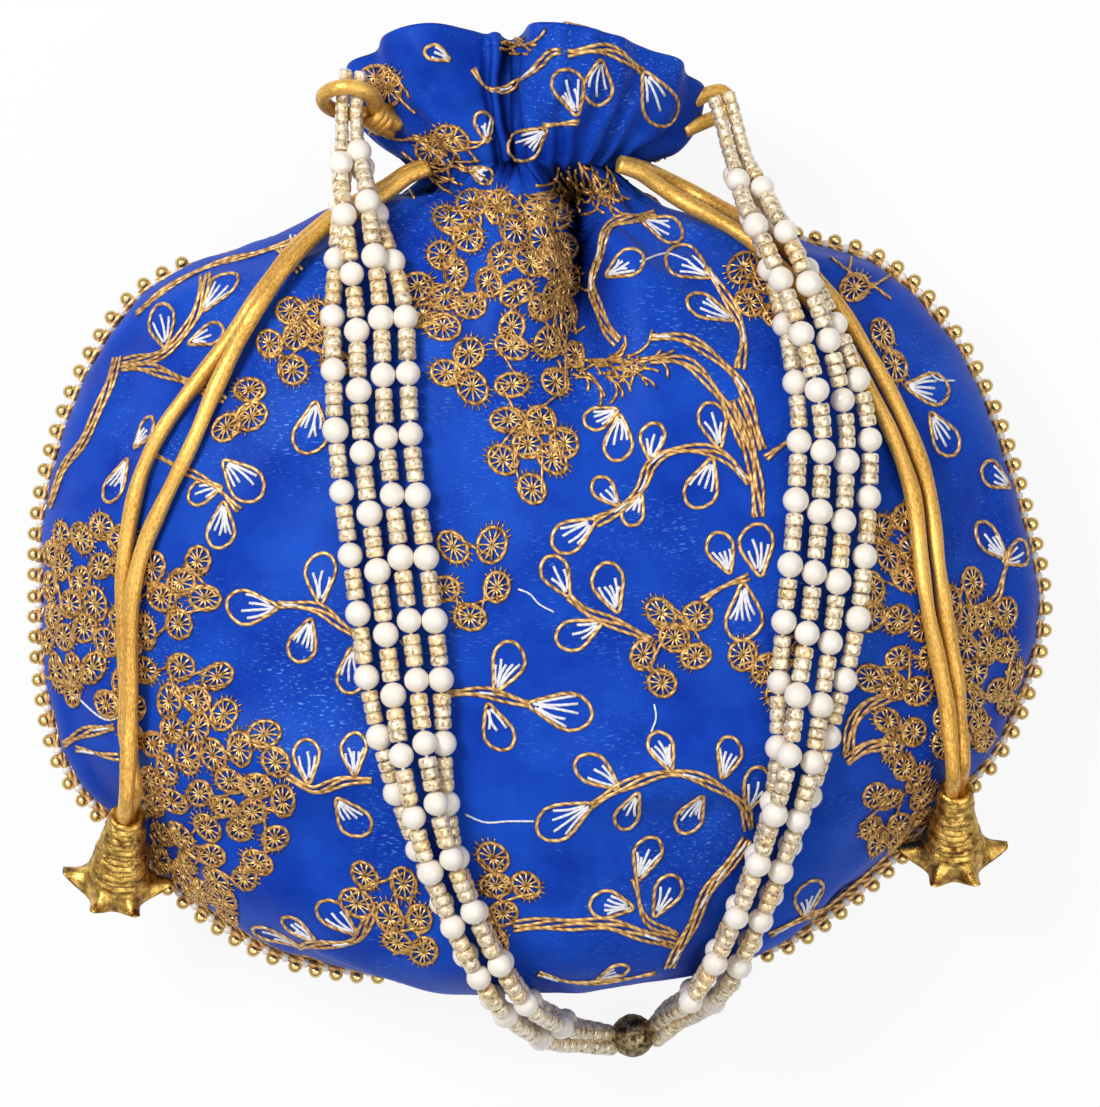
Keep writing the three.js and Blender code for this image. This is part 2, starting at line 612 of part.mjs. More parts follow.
// Distance from a point to the pouch along a direction, for the end of a round cord
function seatDistance(origin, direction, radius) {
  const side = new THREE.Vector3(0, 1, 0).cross(direction).normalize();
  const across = direction.clone().cross(side);
  const ray = new THREE.Raycaster();
  return Math.min(...Array.from({ length: CORD_SIDES }, (_, i) => {
    const angle = (i * 2 * Math.PI) / CORD_SIDES;
    const from = origin.clone().addScaledVector(side, radius * Math.cos(angle))
      .addScaledVector(across, radius * Math.sin(angle));
    ray.set(from, direction);
    const hit = ray.intersectObject(pouchTarget)[0];
    return hit ? hit.distance : Infinity;
  }));
}

// A satin loop round the top of a leg's strands, with its two ends running back to the ruffle
function loopGeometry(side, lines) {
  const step = Math.round(LOOP_BELOW_TOP / LAY_STEP);
  const centre = middle(lines.map(({ points }) => points[step]));
  const bundle = END_SPACING / Math.SQRT2 + END_DIAMETER / 2;
  const radius = bundle + LAY_GAP + 2 * CLEARANCE + LOOP_CORD_DIAMETER / 2;
  const tilt = LOOP_TILT * deg;
  const ahead = middle(lines.map(({ points }) => points[step + 2])).sub(centre).normalize();
  const wide = ahead.clone().cross(new THREE.Vector3(0, 0, 1)).normalize();
  const above = wide.clone().cross(ahead);
  const tall = above.multiplyScalar(Math.cos(tilt)).addScaledVector(ahead, -Math.sin(tilt));
  const tallRadius = radius / Math.cos(tilt);
  const ringPoint = (angle) => centre.clone()
    .addScaledVector(wide, radius * Math.cos(angle)).addScaledVector(tall, tallRadius * Math.sin(angle));
  const home = rufflePoint(0.4, LOOP_SEATS[side] * deg, 0).sub(centre).normalize();
  const facing = Math.atan2(home.dot(tall), home.dot(wide));
  const opening = LOOP_SPACING / 2 / radius;
  const points = [];
  for (let turn = 0; turn <= LOOP_TURNS; turn += 1) {
    points.push(ringPoint(facing + opening + ((2 * Math.PI - 2 * opening) * turn) / LOOP_TURNS));
  }
  const tail = (point) => {
    const run = seatDistance(point, home, LOOP_CORD_DIAMETER / 2) - LAY_GAP - CLEARANCE / 2;
    return [point.clone().addScaledVector(home, run), point.clone().addScaledVector(home, run * 0.5)];
  };
  points.unshift(...tail(points[0]));
  points.push(...tail(points[points.length - 1]).reverse());
  return cordGeometry(points, LOOP_CORD_DIAMETER, LOOP_CORD_DIAMETER);
}

const group = new THREE.Group();

function add(name, geometry, color, roughness, metalness) {
  const material = new THREE.MeshStandardMaterial({ color, roughness, metalness });
  const mesh = new THREE.Mesh(geometry, material);
  mesh.name = name;
  group.add(mesh);
}

readHeights();
add('pouch', pouch, 0x1547b8, 0.45, 0);
add('edge_trim', trimGeometry(seam), 0xc9a35a, 0.3, 0.8);
const ballLine = seam.getSpacedPoints(BALL_LINE_POINTS).map((point, i) => {
  const tangent = seam.getTangentAt(i / BALL_LINE_POINTS);
  const outward = tangent.cross(new THREE.Vector3(0, 0, 1)).setZ(0).normalize();
  return point.addScaledVector(outward, CLEARANCE + BRAID_WIDTH);
});
lay(ballLine, () => BALL_DIAMETER / 2);

// The drawstring ends, draped one over the other and led into their cone
for (const [name, route] of Object.entries(DRAWSTRING_ROUTES)) {
  const cone = CONES[name.includes('left') ? 'left' : 'right'];
  const axis = coneAxis(cone);
  const radius = CORD_DIAMETER / 2;
  const rest = (point, i) => Math.max(
    restHeight(point.x, point.y, radius, radius), i === 0 ? DRAWSTRING_START_HEIGHT : 0);
  const points = drape(planPoints(route), rest, () => HANGING_STEEPNESS);
  lay(points, () => radius);
  const beside = new THREE.Vector3(0, 0, 1).cross(axis).normalize();
  const sidewise = (name.endsWith('_a') === name.includes('left') ? 1 : -1) * (CORD_DIAMETER + CLEARANCE) / 2;
  const into = (back) => new THREE.Vector3(...cone.top)
    .addScaledVector(axis, -back).addScaledVector(beside, -sidewise);
  points.push(into(DRAWSTRING_LEAD), into(CLEARANCE));
  add(name, cordGeometry(points, CORD_DIAMETER, DRAWSTRING_STEP), 0xd9a032, 0.35, 0);
}
add('cone_left', coneGeometry(CONES.left), 0x8a7838, 0.45, 0.8);
add('cone_right', coneGeometry(CONES.right), 0x8a7838, 0.45, 0.8);

// The handle: a satin loop and four bead strands on each side, joined by the spacer bead
for (const side of ['left', 'right']) {
  const lines = strandLines(side);
  lines.forEach(({ points, marks }, i) => {
    add(`handle_${side}_strand_${i + 1}`, strandGeometry(points, marks), 0xe9dfc8, 0.3, 0);
  });
  add(`handle_loop_${side}`, loopGeometry(side, lines), 0xd9a032, 0.35, 0);
}
add('spacer_bead', spacerGeometry(spacerCentre, spacerAxis), 0x7d6b35, 0.5, 0.8);

export default group;
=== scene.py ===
"""The looks of a stuffed satin drawstring pouch with zari embroidery and a beaded handle."""

import math
import random

import bpy
import numpy as np
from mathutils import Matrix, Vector, noise
from mathutils.bvhtree import BVHTree


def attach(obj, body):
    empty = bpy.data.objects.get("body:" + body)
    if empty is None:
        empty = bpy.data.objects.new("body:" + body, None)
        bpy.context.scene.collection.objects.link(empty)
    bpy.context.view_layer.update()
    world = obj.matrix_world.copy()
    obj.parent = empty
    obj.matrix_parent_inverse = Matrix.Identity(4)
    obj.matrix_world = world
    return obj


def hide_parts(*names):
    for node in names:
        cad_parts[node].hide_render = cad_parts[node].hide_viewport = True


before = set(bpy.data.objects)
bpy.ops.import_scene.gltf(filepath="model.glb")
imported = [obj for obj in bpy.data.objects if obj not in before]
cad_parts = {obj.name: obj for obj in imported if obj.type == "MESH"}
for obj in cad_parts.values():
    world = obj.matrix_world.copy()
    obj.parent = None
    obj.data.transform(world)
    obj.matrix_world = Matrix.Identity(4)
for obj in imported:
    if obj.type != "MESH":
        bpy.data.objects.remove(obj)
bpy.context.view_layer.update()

# Shapes are worked out in millimetres and written to Blender in metres
MM = 0.001

# The camera looks straight down, as the photograph does. A photograph pixel spans PIXEL at REFERENCE_HEIGHT
PHOTO_WIDTH = 1100
PHOTO_HEIGHT = 1107
PIXEL = 0.2266
REFERENCE_HEIGHT = 30
CAMERA_PLACE = (1.8, 10.5, 1000)
SENSOR = 36

# Driving dimensions, most of them as in the part's source
SEAM_HEIGHT = 30
FRONT_RISE = 49
BACK_DROP = 39
FRONT_FULLNESS = 1.1
BACK_FULLNESS = 0.9
FOOT_OVERHANG = 7
OVERHANG_HEIGHT = 14
CLOTH = 1.6
NECK_X = -4
NECK_Y = 96
NECK_HEIGHT = 37
NECK_HALF_WIDTH = 20
NECK_HALF_DEPTH = 15
RUFFLE_HALF_WIDTH = 40.5
RUFFLE_HALF_DEPTH = 26
RUFFLE_SIDE_RISE = 21
RUFFLE_FRONT_RISE = 33
BALL_DIAMETER = 3.2
BALL_PITCH = 4.6
BRAID_WIDTH = 3.4
CORD_DIAMETER = 4
LOOP_CORD_DIAMETER = 3.4
PEARL_DIAMETER = 6
SEED_DIAMETER = 4
PEARL_PITCH = 13.3
STRAND_SPACING = 5.4
END_SPACING = 3.3
END_DIAMETER = 2.9
SPACER_DIAMETER = 10.4
SPACER_LENGTH = 9.2
CONE_LENGTH = 25
CONE_TOP_DIAMETER = 6.8
CONE_BODY_DIAMETER = 13.2
CONE_RIM_DIAMETER = 25
CONE_POINTS = 5
CONE_SKIRT = 5.2
CONE_LIP = 1.2
# The windings of a cone, and the thickness of its lip's wall and edge
CONE_COLUMNS = 80
CONE_WINDS = 13
LIP_RINGS = 8
LIP_WALL = 0.9
LIP_EDGE = 0.35
# The braid of the trim: the way out to its middle, the sway and twist of its two strands, and their radius
BRAID_MIDDLE = 1.5
BRAID_SWAY = 0.75
BRAID_RISE = 0.7
BRAID_TWIST = 1.5
BRAID_STRAND_RADIUS = 0.62
# Its two edges: the way out, the lift and the radius
BRAID_EDGES = ((0.5, 1.6, 0.55), (2.3, 0.6, 0.8))
TRIM_BEAD_DIAMETER = 2.3
TRIM_BEAD_LIFT = 0.4
# The beads' place across the braid, as a share of its width
TRIM_BEAD_PLACE = 0.62
# Room between a piece and what it lies on
CLEARANCE = 0.3
LAY_GAP = 0.35
# The stuffed cloth swells this far past its recessed seam, most at SWELL_HEIGHT over and under it. The swell
# dies out over SWELL_FADE stations from SWELL_END, and the overhang of the foot over FOOT_STATIONS
SEAM_SWELL = 0.4
SWELL_HEIGHT = 4.5
SWELL_END = 12
SWELL_FADE = 2
FOOT_STATIONS = 5
# Beside the neck the front cloth bulges further past the seam, left and right. The bulge starts a little over
# the seam, and it comes and goes at these stations, each time over this many
SHOULDER_SWELLS = (4.2, 2.2)
SHOULDER_HEIGHT = 7
SHOULDER_START = 3
SHOULDER_COMES = (11.6, 1.4)
SHOULDER_GOES = (13.8, 1.2)

# Seam stations from the foot to the neck: left edge, right edge, seam lift, front share, back share
STATIONS = np.array([
    (-3, -80, -3, -80, -4, 0, 0),
    (-23, -81.5, 19, -80.5, -4, 0.34, 0.3),
    (-43, -82, 37, -79.5, -4, 0.52, 0.48),
    (-61.5, -77.5, 54, -76, -3, 0.67, 0.62),
    (-78.5, -66.5, 70, -64.5, -2, 0.81, 0.75),
    (-94.5, -50.5, 87, -48, -1, 0.9, 0.86),
    (-106, -36.5, 100.5, -33.5, 0, 0.95, 0.93),
    (-110.5, -18, 108, -16.5, 0, 0.98, 0.98),
    (-111.5, 2.5, 110.5, 0, 0, 1, 1),
    (-110.5, 22.5, 106, 21.5, 0, 0.98, 0.99),
    (-104.5, 43.5, 98, 45.5, 0, 0.93, 0.94),
    (-94.5, 62, 87, 64, 0, 0.84, 0.85),
    (-83, 71.5, 74, 75, 1, 0.75, 0.75),
    (-63.5, 78, 56, 79.5, 2, 0.65, 0.64),
    (-46, 85.5, 37, 84.5, 4, 0.53, 0.53),
    (-32, 91, 24.5, 90.5, 6, 0.41, 0.44),
])
TRIM_TOP_LEFT = 13.2
TRIM_TOP_RIGHT = 13.8
# Above this the pouch's left shoulder hides the balls
BALLS_TOP_LEFT = 12.3

# Folds that run down from the neck: start, end, half width, and depth into the cloth at the start
FRONT_FOLDS = [
    ((5.5, 97), (11.5, 22), 5.4, 27),
    ((-5, 96), (-1, 50), 10, -5.5),
    ((-24, 95), (-31, 58), 5.5, 6.5),
    ((-15, 96), (-19, 66), 3, 3),
    ((-1, 96), (2, 74), 2.6, 3),
    ((15, 95), (24, 60), 5, -2.5),
    ((19, 94), (37, 66), 4, 3.5),
    ((-24, 92), (-62, 66), 6, 2.5),
]
BACK_FOLDS = [
    ((-18, 95), (-34, 50), 5, 5),
    ((-9, 96), (-12, 62), 4, 4),
    ((1, 96), (5, 48), 5, 6),
    ((12, 95), (26, 58), 4.5, 4),
]
# The first front fold is a pleat: the cloth on its left leans over it this far, most this far from its middle
PLEAT_LEAN = 2.6
PLEAT_CREST = 6
# Shares of the pleat's length: the lean comes in over PLEAT_ENTRY and is gone at PLEAT_END
PLEAT_ENTRY = 0.15
PLEAT_END = 0.8
PLEAT_START = 0.3
# Folds of the ruffle: angle round the neck in degrees, half width, depth at the rim
RUFFLE_FOLDS = [
    (18, 8, 3), (44, 10, 2.5), (74, 12, -2), (95, 6, 13), (108, 9, 11), (154, 9, 3.5), (198, 9, 6),
    (228, 8, 6), (258, 8, 7), (290, 8, 6), (322, 9, 6), (350, 7, 3),
]

# The share of a fold's depth that it has at the neck, and how far its rim dips for its depth
FOLD_AT_NECK = 0.3
FOLD_DIP = 0.22
# How the rise of the ruffle's side grows, and how round its front is
SIDE_GROWTH = 1.6
FRONT_ROUNDNESS = 0.8
# The right lobe of the ruffle stands this much lower than the left
LOBE_DROP = 3.4

# Plan routes of the drawstring ends and of the middle of the handle's two legs
DRAWSTRING_ROUTES = {
    "drawstring_left_a": [
        (-25.5, 97), (-30, 95.6), (-34, 93), (-40, 89.3), (-46.5, 85.3), (-53.5, 78.8), (-60, 70.3),
        (-65.6, 61.5), (-71, 54), (-77.2, 46), (-83.5, 37), (-87.6, 28.5), (-90, 19.5), (-91.5, 10),
        (-92.3, 0), (-92, -10), (-91.6, -22), (-91.6, -34),
    ],
    "drawstring_left_b": [
        (-25, 96), (-29.5, 94.2), (-33.5, 91), (-39, 87.5), (-45.5, 84), (-52.5, 77.5), (-59, 68.5),
        (-65, 59), (-71, 47), (-76, 35), (-82, 23), (-87, 12), (-89.6, 2), (-90.2, -10), (-90.3, -22),
        (-90.6, -34),
    ],
    "drawstring_right_a": [
        (17.5, 97.5), (22.5, 96.5), (27, 95), (33, 92), (40.5, 87.8), (47, 83.5), (52.8, 79), (59, 72.5),
        (64.8, 65.8), (69.6, 58.6), (74, 51), (78, 43.5), (81.2, 36.5), (84.6, 26.8), (86.2, 18),
        (87, 9.5), (88.2, 0), (90, -10), (91.8, -19), (92.4, -28),
    ],
    "drawstring_right_b": [
        (17, 96.5), (22, 95), (26.5, 92), (31.5, 88.8), (38, 85), (44.5, 80.7), (50.5, 75.6),
        (56.3, 69.5), (61.8, 62.8), (66.4, 56), (70.6, 48.8), (74.4, 41.6), (77.6, 34.8), (80.9, 25.6),
        (82.4, 17), (83.2, 8.5), (84.4, -1), (86.6, -11), (88.6, -20), (90, -28),
    ],
}
DRAWSTRING_START_HEIGHT = 40
DRAWSTRING_LEAD = 8
# How far the two cords lean from one over the other towards side by side where they enter their cone
CORD_LEAN = {"left": 0.25, "right": 0.8}
CONES = {
    "left": ((-91.8, -47.4, 52.5), (-95.8, -63.6, 35)),
    "right": ((91.9, -41.6, 51), (92.7, -57.6, 31.5)),
}
# How full each cone stays down its length: the right one flares later
CONE_FLARES = {"left": 1.2, "right": 2.1}
CONE_ROLL = 3.6
# The lip's points are cut off at this share of their height
CONE_BLUNTNESS = 0.8
# The lip's five points crowd towards the cone's upper side by this much, in radians
CONE_CROWDING = 0.36
# How thick the drawstring cords are for their measured diameter
CORD_FULLNESS = 0.88
HANDLE_ROUTES = {
    "left": [
        (-41.5, 117), (-42.5, 110), (-42.3, 100), (-41, 89), (-39.5, 78), (-37.8, 65), (-37, 50), (-36.4, 37),
        (-35, 24), (-33.2, 11), (-31.4, -2), (-29.8, -15), (-28.2, -27.5), (-26, -40.5), (-22.6, -54),
        (-17.9, -66.5), (-12.6, -78), (-5, -90.5), (4, -98.5), (11.5, -101.8),
    ],
    "right": [
        (39.8, 112.5), (41.5, 107), (43.5, 99), (47, 88), (52, 77), (57, 64.5), (61, 51.5), (63.5, 38),
        (63.2, 24.5), (61.8, 8.5), (60, -7), (57.7, -21.5), (55.5, -36), (52.3, -49), (48, -62.5),
        (43.5, -74), (38.8, -84.5), (33.5, -92.5), (28, -97.5),
    ],
}
SPACER_PLACE = (21, -101.5)
SPACER_TURN = 10
LOOP_HEIGHTS = {"left": 50, "right": 42}
LOOP_SEAT = 158
LOOP_SEAT_SHARE = 0.4
LOOP_SLACK = 0.4
# How long a loop's ends are where they meet no cloth
FREE_END = 4.0
UNDER_LOOP = [
    (33.8, 111.8, 40), (37.5, 113.8, 39), (40.5, 114.3, 37.6), (42.3, 112, 36.6), (40.5, 109.5, 36.2),
    (37.6, 108, 37.5), (35, 106.8, 38.6), (32, 105.4, 39),
]
KNOT_DIAMETER = 5
KNOT_TURNS = 3
LOOP_TILT = 24
LOOP_SPACING = 4
LOOP_BELOW_TOP = 7
# How deep the left loop's ends go into the cloth
LOOP_SEWN_IN = 0.1
# Places of the strands in the row of four, the two outer ones laid first
STRAND_SIDES = (-1.5, 1.5, -0.5, 0.5)
# How far each strand's pearls are shifted along it
PEARL_SHIFTS = {"left": (3.1, 0, 0, 3.1), "right": (3.1, 0, 6.2, 3.1)}
OUTER_FAN_LENGTHS = {"left": 45, "right": 75}
INNER_FAN_LENGTH = 12
BEAD_FAN_LENGTH = 14
# Within STACK_LENGTH of the spacer bead the four strands lie two on two. Over STACK_FAN_LENGTH more they
# come to lie side by side
STACK_LENGTH = 48
STACK_FAN_LENGTH = 57
STACK_HALF_WIDTH = 3.1
FIRST_PEARL = 5
# Where a strand drops, its pearls stand no closer in plan than their pitch over this
STEEP_PEARLS = 1.2
SEED_PITCH = 2.4
BEAD_LEAD = 2
STRING_RADIUS = 0.4
# The strand of the right leg that each strand of the left leg runs on as
MIRRORED_STRANDS = (1, 0, 3, 2)
LAY_STEP = 1.6
EASING = 14
HANGING_STEEPNESS = 1.2
FOOT_SHARE = 0.6
FOOT_SAG = 1.04

# Painted shade darkens the satin's colour in each crease narrower than about this, in metres
CREASE_SHADE_REACH = 0.014
# The cloth simulation that settles the filled body
SETTLE_STEP = 3
SETTLE_FRAMES = 20
PRESSURE = 4
CLOTH_EXCESS = 0.05
SETTLED_RELIEF = 1.3
# Relief of the cloth: the lengths and shares of its waves, the puckers beside the seam and the gathers round
# the neck
WAVES = ((26, 1), (9, 0.4))
WAVE_HEIGHT = 0.75
PUCKER_HEIGHT = 0.28
PUCKER_WAVE = 1.7
PUCKER_REACH = 7
GATHER_HEIGHT = 0.9
GATHER_COUNT = 26
GATHER_START = 14
GATHER_REACH = 22
# How fine the meshes are
POUCH_COLUMNS = 300
BODY_RINGS = 200
RUFFLE_RINGS = 40
INNER_RINGS = 32
SEAM_STEP = 0.05

# Threads of the embroidery, in millimetres
THREAD_RADIUS = 0.44
STITCH_RADIUS = 0.33
SPOKE_RADIUS = 0.27
# Half lengths and half widths of the wheels, their spokes, and their picots with the turn between two
WHEEL_LONG = (3.1, 4.0)
WHEEL_SHORT = (2.5, 3.1)
SPOKES = 11
PICOTS = 7
PICOT_TURN = 0.34
# Slopes of the white stitches in a leaf
LEAF_FANS = ((-0.36, -0.12, 0.12, 0.36), (-0.34, -0.04, 0.28), (-0.38, -0.2, 0.0, 0.2, 0.38))
# Above these rows of the photograph, motifs are drawn as the camera sees them, and below in their true size
RUFFLE_LINE = 300
BACK_RUFFLE_LINE = 185
# A shape whose neighbouring points lie further apart than TORN_STEP is left out, and so is a leaf longer than
# LONGEST_LEAF. A thread is split at a gap longer than LONGEST_GAP, and a part of few points is left out
TORN_STEP = 9
LONGEST_LEAF = 20
LONGEST_GAP = 7
FEWEST_POINTS = 4
# The share of a stem's places that hold a white dash
WHITE_SHARE = 0.25
WHEEL_SPACING = 6.0
# Links between wheels and lengths of bunched thread, in pixels
LONGEST_LINK = 42
LINK_ASIDE = 12
TANGLE_STEP = 5
TANGLE_STEPS = (4, 8)
# Heights that rays start from, under and over the whole bag
BELOW_ALL = -50
ABOVE_ALL = 200

# The lighting: world strength, what metal mirrors at its sides and over it, and each lamp's place in metres,
# size and power
AMBIENT = 0.4
MIRRORED_SIDES = 0.05
MIRRORED_TOP = 1.25
LAMPS = {
    "key": ((-0.55, 0.42, 1.0), 0.4, 9.5),
    "fill": ((0.6, -0.35, 0.9), 0.9, 2.5),
}
FLOOR_HALF_SIZE = 4.0
FLOOR_HEIGHT = -0.0007
# How far the camera sees the floor as plain white
FLOOR_WHITENESS = 0.9

# The embroidery, in pixels of the photograph. A leaf runs from its base to its tip
LEAVES = [
    ((569, 596), (547, 557)), ((618, 612), (605, 563)), ((601, 622), (557, 642)), ((495, 691), (513, 642)),
    ((488, 704), (508, 749)), ((529, 704), (592, 716)), ((618, 788), (577, 760)), ((671, 770), (654, 732)),
    ((722, 778), (730, 737)), ((730, 573), (715, 533)), ((743, 584), (740, 640)), ((595, 520), (554, 548)),
    ((618, 505), (595, 479)), ((641, 494), (628, 525)), ((651, 461), (656, 423)), ((720, 448), (707, 403)),
    ((712, 459), (692, 507)), ((618, 410), (585, 423)), ((620, 415), (615, 461)), ((135, 448), (153, 418)),
    ((128, 459), (107, 502)), ((222, 487), (189, 499)), ((224, 461), (260, 497)), ((224, 502), (217, 548)),
    ((316, 402), (304, 453)), ((321, 604), (324, 553)), ((278, 607), (227, 604)), ((311, 619), (296, 661)),
    ((352, 648), (349, 693)), ((309, 783), (306, 739)), ((355, 775), (355, 732)), ((337, 798), (367, 834)),
    ((357, 934), (319, 903)), ((316, 941), (283, 918)), ((301, 946), (253, 929)), ((592, 804), (539, 834)),
    ((638, 793), (623, 829)), ((702, 796), (682, 832)), ((638, 880), (654, 837)), ((633, 908), (590, 903)),
    ((654, 916), (674, 875)), ((748, 809), (758, 768)), ((805, 916), (812, 880)), ((761, 576), (757, 524)),
    ((1009, 487), (981, 469)), ((1006, 558), (976, 525)), ((930, 413), (955, 454)), ((905, 386), (948, 389)),
    ((710, 277), (667, 254)), ((733, 320), (687, 300)), ((607, 276), (642, 255)), ((642, 221), (682, 238)),
    ((204, 311), (237, 276)), ((166, 347), (158, 306)), ((189, 344), (224, 330)), ((449, 60), (425, 50)),
    ((577, 115), (561, 70)), ((547, 129), (510, 155)), ((644, 72), (667, 125)), ((600, 60), (597, 105)),
    ((292, 250), (296, 226)), ((1003, 562), (1026, 548)), ((636, 176), (664, 152)), ((487, 142), (480, 112)),
    ((470, 168), (492, 182)), ((598, 978), (628, 966)),
]
# Stems of two to four threads: the number of threads, then the places that they pass
STEMS = [
    (3, [(749, 484), (728, 459), (707, 450), (669, 452), (651, 464), (641, 489), (618, 510), (595, 522)]),
    (3, [(569, 596), (587, 612), (625, 627), (651, 640)]),
    (2, [(702, 601), (728, 584), (749, 576)]),
    (3, [(444, 693), (488, 693), (529, 704)]),
    (3, [(278, 604), (319, 609), (349, 630), (370, 642)]),
    (3, [(288, 775), (314, 790), (344, 780), (372, 780)]),
    (4, [(513, 926), (567, 923), (615, 926), (674, 944)]),
    (3, [(590, 805), (620, 788), (666, 773), (707, 781), (743, 806), (749, 829)]),
    (4, [(669, 967), (689, 929), (707, 893), (748, 839)]),
    (2, [(633, 878), (648, 921), (677, 934)]),
    (4, [(733, 400), (751, 451), (759, 517)]),
    (2, [(766, 459), (794, 436)]),
    (4, [(656, 215), (610, 227), (599, 258), (593, 287), (604, 321), (619, 342)]),
    (3, [(650, 337), (687, 340), (725, 366), (745, 394), (762, 450)]),
    (3, [(650, 360), (687, 363), (722, 400), (748, 450)]),
    (3, [(707, 268), (742, 331), (739, 369)]),
    (4, [(118, 358), (104, 400), (84, 440), (64, 470), (50, 505)]),
    (4, [(123, 364), (160, 355), (193, 322), (207, 275)]),
    (3, [(124, 368), (150, 369), (187, 382), (226, 400)]),
    (3, [(137, 314), (178, 282), (222, 263), (267, 251), (322, 232)]),
    (2, [(278, 250), (290, 262), (300, 272)]),
    (2, [(1010, 548), (1004, 572), (996, 598), (972, 608)]),
    (2, [(538, 973), (570, 981), (615, 980), (655, 972)]),
    (2, [(148, 452), (186, 470), (222, 492), (240, 510)]),
    (3, [(64, 744), (87, 732), (115, 727)]),
    (2, [(77, 749), (120, 757)]),
    (4, [(891, 694), (866, 706), (852, 726), (846, 755)]),
    (4, [(893, 742), (868, 746), (846, 762)]),
    (3, [(769, 934), (805, 917), (858, 893)]),
    (3, [(298, 946), (316, 944), (357, 939), (370, 916)]),
    (2, [(472, 69), (484, 86), (507, 89), (530, 72), (553, 53), (561, 52)]),
    (3, [(567, 53), (610, 50), (642, 72)]),
    (2, [(578, 121), (544, 126)]),
]
# Middles of the wheel motifs
WHEELS = [
    (453, 547), (492, 545), (443, 589), (497, 587), (470, 617), (661, 613), (697, 616), (643, 655),
    (696, 656), (662, 683), (508, 420), (541, 420), (503, 460), (552, 459), (532, 489), (564, 443),
    (468, 238), (502, 258), (456, 273), (418, 287), (472, 306), (517, 293), (555, 293), (443, 327),
    (512, 327), (547, 342), (469, 353), (512, 347), (446, 373), (472, 387), (512, 385), (498, 207),
    (538, 212), (423, 316), (555, 382), (82, 538), (63, 566), (101, 566), (71, 604), (96, 604), (65, 637),
    (107, 642), (57, 670), (93, 668), (181, 582), (153, 568), (147, 632), (179, 624), (181, 667),
    (218, 676), (145, 670), (170, 701), (224, 715), (198, 729), (107, 704), (153, 744), (188, 757),
    (240, 749), (276, 762), (230, 781), (200, 793), (151, 780), (283, 801), (253, 811), (173, 801),
    (208, 827), (240, 829), (163, 834), (212, 855), (258, 862), (245, 878), (188, 862), (194, 895),
    (224, 900), (217, 880), (365, 875), (357, 903), (390, 918), (404, 883), (424, 951), (493, 857),
    (526, 885), (503, 913), (495, 944), (903, 517), (887, 556), (904, 579), (871, 617), (898, 619),
    (922, 627), (972, 582), (986, 617), (965, 647), (1004, 650), (898, 658), (870, 678), (917, 691),
    (995, 690), (978, 721), (913, 732), (766, 668), (904, 767), (875, 795), (922, 796), (870, 827),
    (899, 824), (919, 832), (899, 852), (743, 268), (749, 303), (776, 314), (841, 254), (854, 288),
    (890, 288), (882, 334), (894, 366), (291, 311), (319, 316), (270, 344), (293, 370), (324, 342),
    (250, 390), (377, 77), (389, 89), (430, 150), (452, 138),
]
# Outlines of the clusters that wheels fill
CLUSTERS = [
    [(55, 535), (100, 522), (135, 548), (200, 560), (208, 610), (196, 650), (238, 672), (246, 712),
     (262, 730), (292, 752), (300, 800), (275, 822), (278, 862), (250, 884), (238, 918), (196, 918),
     (168, 880), (150, 835), (128, 790), (140, 745), (118, 722), (60, 692), (46, 650), (52, 600), (42, 560)],
    [(450, 205), (500, 196), (548, 196), (560, 240), (572, 300), (578, 350), (566, 400), (556, 450),
     (548, 492), (530, 500), (512, 470), (500, 430), (470, 392), (440, 382), (425, 340), (405, 300),
     (412, 268), (440, 262)],
    [(646, 602), (700, 596), (716, 620), (712, 656), (690, 668), (668, 695), (650, 680), (628, 656)],
    [(280, 300), (335, 290), (340, 320), (338, 372), (300, 384), (262, 352)],
    [(236, 370), (268, 380), (250, 430), (215, 440)],
    [(880, 520), (915, 500), (918, 560), (905, 600), (860, 610), (868, 570)],
    [(925, 600), (968, 570), (1012, 610), (1024, 650), (1012, 690), (985, 740), (950, 760), (925, 735),
     (935, 690), (920, 650)],
    [(880, 640), (915, 640), (912, 720), (900, 760), (930, 790), (925, 850), (890, 866), (862, 836),
     (872, 790), (892, 750), (868, 700)],
    [(345, 870), (400, 868), (432, 900), (440, 955), (412, 958), (380, 925), (350, 912)],
    [(485, 850), (505, 838), (532, 870), (530, 905), (498, 930), (486, 890)],
    [(735, 255), (770, 262), (792, 300), (788, 335), (752, 320)],
    [(740, 650), (790, 640), (795, 690), (760, 700)],
]
# Boxes of bunched thread: how many lengths each holds, and the way that they run in degrees from level
TANGLES = [
    ((388, 134, 460, 176), 32, 30),
    ((548, 160, 612, 196), 36, 70),
    ((466, 190, 548, 220), 24, 20),
    ((364, 70, 398, 100), 8, 60),
    ((554, 236, 568, 380), 24, 85),
    ((566, 354, 644, 380), 34, 5),
    ((488, 38, 532, 54), 8, 0),
]
# Single white threads between the motifs
WHITE_LINES = [
    [(518, 589), (530, 594), (539, 604), (554, 612)],
    [(654, 704), (656, 718), (651, 732)],
    [(465, 814), (485, 822), (508, 821), (534, 821)],
    [(640, 262), (667, 254), (690, 262)],
    [(400, 640), (424, 672), (444, 690)],
    [(928, 372), (938, 380), (954, 381)],
    [(70, 690), (110, 720), (140, 700)],
    [(786, 700), (792, 742), (770, 760)],
]


def smooth(value):
    """Smooth step from 0 to 1."""
    held = np.clip(value, 0, 1)
    return held * held * (3 - 2 * held)


